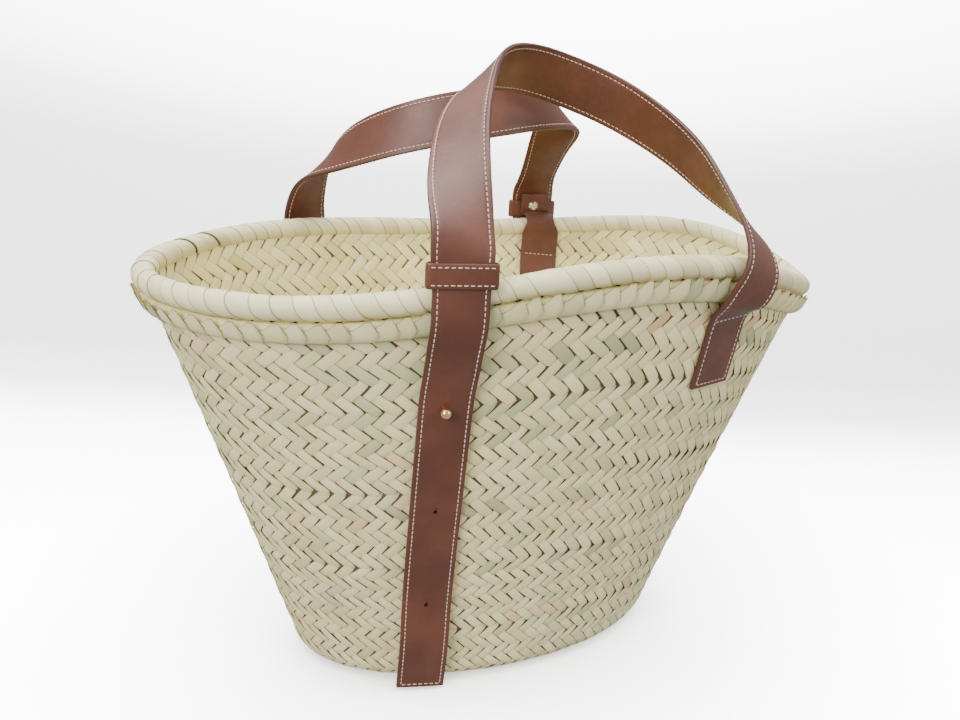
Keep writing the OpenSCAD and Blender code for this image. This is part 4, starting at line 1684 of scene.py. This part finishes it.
    def _punch(self, body: bpy.types.Object) -> None:
        """Cuts the two spare stud holes and the slit above each.

        Args:
            body: the tail, which is changed.
        """
        r = self.route
        bore, slit_top, slit_from, look_up, reach = 1.5, 3.6, 0.93, 8, 16.0
        for k in (1, 2):
            at = r.run(r.stud_drop + k * r.hole_pitch, r.clear)
            above = r.run(r.stud_drop + k * r.hole_pitch - look_up, r.clear)
            up = unit(above - at)
            out = unit(np.cross(r.along(r.keeper_x), up))
            side = unit(np.cross(up, out))
            ring = []
            for q in np.linspace(0, 2 * math.pi, 24, endpoint=False):
                x, y = bore * math.cos(q), bore * math.sin(q)
                if math.sin(q) > slit_from:
                    y, x = slit_top, x * 0.5
                ring.append((x, y))
            verts = [at + side * x + up * y + out * z for z in (-reach, reach) for x, y in ring]
            cutter = new_piece("hole_cutter", np.array(verts) * MM, prism_faces(len(ring)))
            modifier = body.modifiers.new("hole", "BOOLEAN")
            modifier.operation, modifier.object, modifier.solver = "DIFFERENCE", cutter, "EXACT"
            graph = bpy.context.evaluated_depsgraph_get()
            mesh = bpy.data.meshes.new_from_object(body.evaluated_get(graph), preserve_all_data_layers=True,
                                                   depsgraph=graph)
            body.modifiers.clear()
            body.data = mesh
            bpy.data.objects.remove(cutter)

    def _pose(self, point: np.ndarray, out: np.ndarray) -> np.ndarray:
        """Axes at a place on the strap: along, up, out, and the place."""
        x = unit(np.cross(UP, out))
        return np.stack([x, np.cross(out, x), out, point])

    def _keeper(self) -> bpy.types.Object:
        """The sewn loop that holds the strap against the rim."""
        r = self.route
        label = r.side.label
        axes = self._pose(r.roll_at(r.keeper_x, r.off, r.keeper_low), unit(np.cross(r.along(r.keeper_x), UP)))
        half_w, half_d, wall = r.width / 2 + 1.7, (r.thick + 1.0) / 2 + 0.9, 1.7
        corner, around = 2.2, 14
        loop = []
        for cx, cz, start in ((1, 1, 0.0), (-1, 1, 0.5), (-1, -1, 1.0), (1, -1, 1.5)):
            for q in np.linspace(start, start + 0.5, 6) * math.pi:
                loop.append((cx * (half_w - corner) + corner * math.cos(q),
                             cz * (half_d - corner) + corner * math.sin(q), math.cos(q), math.sin(q)))
        verts, faces = [], []
        for x, z, nx, nz in loop:
            for k in range(around):
                q = 2 * math.pi * k / around
                dy = math.copysign(abs(math.cos(q)) ** 0.35, math.cos(q)) * (r.keeper_h / 2 - 0.1)
                dn = math.copysign(abs(math.sin(q)) ** 0.55, math.sin(q)) * wall / 2
                verts.append(axes[3] + axes[0] * (x + nx * dn) + axes[1] * (dy + r.keeper_h / 2)
                             + axes[2] * (z + nz * dn))
        n = len(loop)
        for i in range(n):
            for k in range(around):
                faces.append([i * around + k, i * around + (k + 1) % around,
                              (i + 1) % n * around + (k + 1) % around, (i + 1) % n * around + k])
        body = new_piece(f"{label}_keeper_loop", np.array(verts) * MM, faces)
        note(body, "strap", np.tile([0.3, 0.0, 0.0], (len(verts), 1)))
        smooth_shading(body, 70.0)
        dress(body, self.wear.leather)
        parts = [body]
        face_z = half_d + wall / 2 + 0.12
        for k, y in enumerate((2.6, r.keeper_h - 2.6)):
            line = np.array([axes[3] + axes[0] * x + axes[1] * y + axes[2] * face_z
                             for x in np.linspace(-half_w + 1.5, half_w - 1.5, 20)])
            parts.append(self.stitching.sew(f"{label}_keeper_seam", line, np.tile(axes[2], (20, 1)), 400 + k))
        piece = joined(f"{label}_keeper_loop", parts)
        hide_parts(f"{label}_keeper")
        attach(piece, "basket")
        return piece

    def _tab(self) -> bpy.types.Object:
        """The tab that is sewn inside the wall and bends over the rim."""
        r, s = self.route, self.route.shape
        label = r.side.label
        thick = 2.0
        reach = thick / 2 + 0.3
        inside = s.wall_t + thick / 2 + 2.1
        back = r.off - (r.thick + 1.0) / 2 - 2.0 - 0.3 - thick / 2
        x = r.keeper_x
        marks = [r.run(88, -inside), r.run(76, -inside), r.run(50, -inside), r.run(28, -inside),
                 r.roll_at(x, -s.roll_r - reach - 1.2, -9), r.roll_at(x, -s.roll_r - reach - 0.9, 0),
                 r.roll_at(x, -s.roll_r * 0.95 - reach, 7), r.roll_at(x, -s.roll_r * 0.35 - reach, 11.5),
                 r.roll_at(x, back - 0.4, 13), r.roll_at(x, back, 17), r.roll_at(x, back, 30)]
        path = smooth(marks, 6)
        wide = np.tile(r.along(x), (len(path), 1))
        half, seam, groove = 17.5, 14.6, 0.12
        outline, kinds = strap_outline(half, thick, seam, groove)
        top = r.roll_z(x) + 4.0
        share = np.clip((path[:, 2] - (top - 10)) / 14.0, 0, 1)
        top_share = 26.0 / 35.0
        narrow = 1.0 - share * share * (3 - 2 * share) * (1 - top_share)
        scale = np.stack([narrow, np.ones(len(path))], axis=-1)
        body = sweep(f"{label}_rim_tab", path, wide, outline, scale, kinds)
        dress(body, self.wear.leather, self.wear.edge, self.wear.leather)
        _, out, across = strap_axes(path, wide)
        parts = [body]
        for k, drop in enumerate((24.0, 84.0)):
            i = int(np.argmin(np.abs(path[:24, 2] - (r.roll_z(x) - drop))))
            line = path[i] + across[i] * np.linspace(-14, 14, 12)[:, None] - out[i] * (thick / 2 + 0.12)
            parts.append(self.stitching.sew(f"{label}_tab_seam", line, np.tile(-out[i], (12, 1)), 420 + k))
        piece = joined(f"{label}_rim_tab", parts)
        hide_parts(f"{label}_inner_tab")
        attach(piece, "basket")
        return piece


@dataclass
class Hardware:
    """The studs, their screws and the rivets, which keep their turned shapes."""

    wear: Wardrobe

    def dress(self) -> None:
        """Gives each metal node its finish."""
        for side in Side:
            for node, metal in (("stud", self.wear.brass), ("stud_screw", self.wear.brass),
                                ("rivet", self.wear.nickel)):
                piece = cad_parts[f"{side.label}_{node}"]
                for slot in piece.material_slots:
                    slot.material = metal


# ---------------------------------------------------------------- the studio


@dataclass
class Studio:
    """Floor, light and camera."""

    eye: tuple[float, float, float] = (-0.2953, -0.6375, 0.4421)
    yaw: float = math.radians(24.17)
    pitch: float = math.radians(16.69)
    roll: float = math.radians(2.99)
    lens: float = 34.29
    sensor: float = 36.0

    def build(self) -> None:
        """Makes the camera first, then the ground and the lights."""
        self._camera()
        self._ground()
        self._lights()

    def _camera(self) -> None:
        """The camera, a little above the basket and left of its middle."""
        cy, sy, cp, sp = math.cos(self.yaw), math.sin(self.yaw), math.cos(self.pitch), math.sin(self.pitch)
        ahead = Vector((sy * cp, cy * cp, -sp))
        right = ahead.cross(Vector((0, 0, 1))).normalized()
        up = right.cross(ahead).normalized()
        tilt_right = right * math.cos(self.roll) + up * math.sin(self.roll)
        tilt_up = up * math.cos(self.roll) - right * math.sin(self.roll)
        data = bpy.data.cameras.new("camera")
        data.lens, data.sensor_width, data.sensor_fit = self.lens, self.sensor, "HORIZONTAL"
        data.clip_start, data.clip_end = 0.01, 50.0
        camera = bpy.data.objects.new("camera", data)
        turn = Matrix((tilt_right, tilt_up, -ahead)).transposed()
        camera.matrix_world = Matrix.Translation(self.eye) @ turn.to_4x4()
        bpy.context.scene.collection.objects.link(camera)
        bpy.context.scene.camera = camera

    def _ground(self) -> None:
        """A round floor that curves up into a wall on every side."""
        around, level, bend, top = 96, 2.2, 1.6, 7.0
        cuts = [(0.25, 0.0), (1.0, 0.0), (level, 0.0)]
        cuts += [(level + bend * math.sin(q), bend - bend * math.cos(q))
                 for q in np.linspace(0.1, math.pi / 2, 14)]
        cuts.append((3.8, top))
        turns = np.linspace(0, 2 * math.pi, around, endpoint=False)
        verts = [(r * math.cos(q), r * math.sin(q), z) for r, z in cuts for q in turns]
        faces: list[list[int]] = [[i * around + k, (i + 1) * around + k, (i + 1) * around + (k + 1) % around,
                                   i * around + (k + 1) % around]
                                  for i in range(len(cuts) - 1) for k in range(around)]
        faces.append(list(range(around)))
        floor = new_piece("floor", np.array(verts), faces)
        floor.data.shade_smooth()
        # the floor glows with painted light, with a painted contact shadow by the basket
        dress(floor, PlainGround().make())
        floor.visible_diffuse = False
        floor.visible_glossy = False
        floor.visible_shadow = False

    def _lights(self) -> None:
        """Wide soft lights from above and both sides, and an even sky."""
        world = bpy.data.worlds.new("studio_sky")
        world.use_nodes = True
        sky = world.node_tree.nodes["Background"]
        sky.inputs[0].default_value = (1.0, 0.98, 0.94, 1.0)
        sky.inputs[1].default_value = 0.62
        bpy.context.scene.world = world
        aim = Vector((0, 0, 0.2))
        for name, place, size, power in (
            ("top_light", (-0.3, 0.1, 2.6), 2.4, 98.0),
            ("left_light", (-2.3, -1.6, 1.7), 1.7, 96.0),
            ("right_light", (2.0, -2.2, 1.5), 1.8, 33.0),
            ("back_light", (0.9, 2.0, 2.2), 2.0, 44.0),
        ):
            data = bpy.data.lights.new(name, "AREA")
            data.shape, data.size, data.energy = "DISK", size, power
            light = bpy.data.objects.new(name, data)
            light.location = place
            light.rotation_mode = "QUATERNION"
            light.rotation_quaternion = (aim - Vector(place)).to_track_quat("-Z", "Y")
            bpy.context.scene.collection.objects.link(light)


def main() -> None:
    """Builds the basket and the studio, in order, and reports each piece."""
    logging.basicConfig(level=logging.INFO, format="%(name)s: %(message)s")
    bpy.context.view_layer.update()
    Studio().build()
    shape, wear, scatter = BasketShape(), Wardrobe(), Scatter()
    woven: list[bpy.types.Object] = PlaitedWall(shape).build(scatter, wear)
    woven.append(BaseMat(shape).build(scatter, wear))
    woven += RimRoll(shape).build(scatter, wear)
    for piece in woven:
        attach(piece, "basket")
    stitching = Stitching(scatter, wear)
    made = list(woven)
    for side in Side:
        made += StrapHandle(StrapRoute(shape, side), wear, stitching).build()
    bpy.data.objects.remove(stitching.item)
    Hardware(wear).dress()
    for piece in made:
        log.info("%s: %d faces", piece.name, len(piece.data.polygons))


if __name__ == "__main__":
    main()
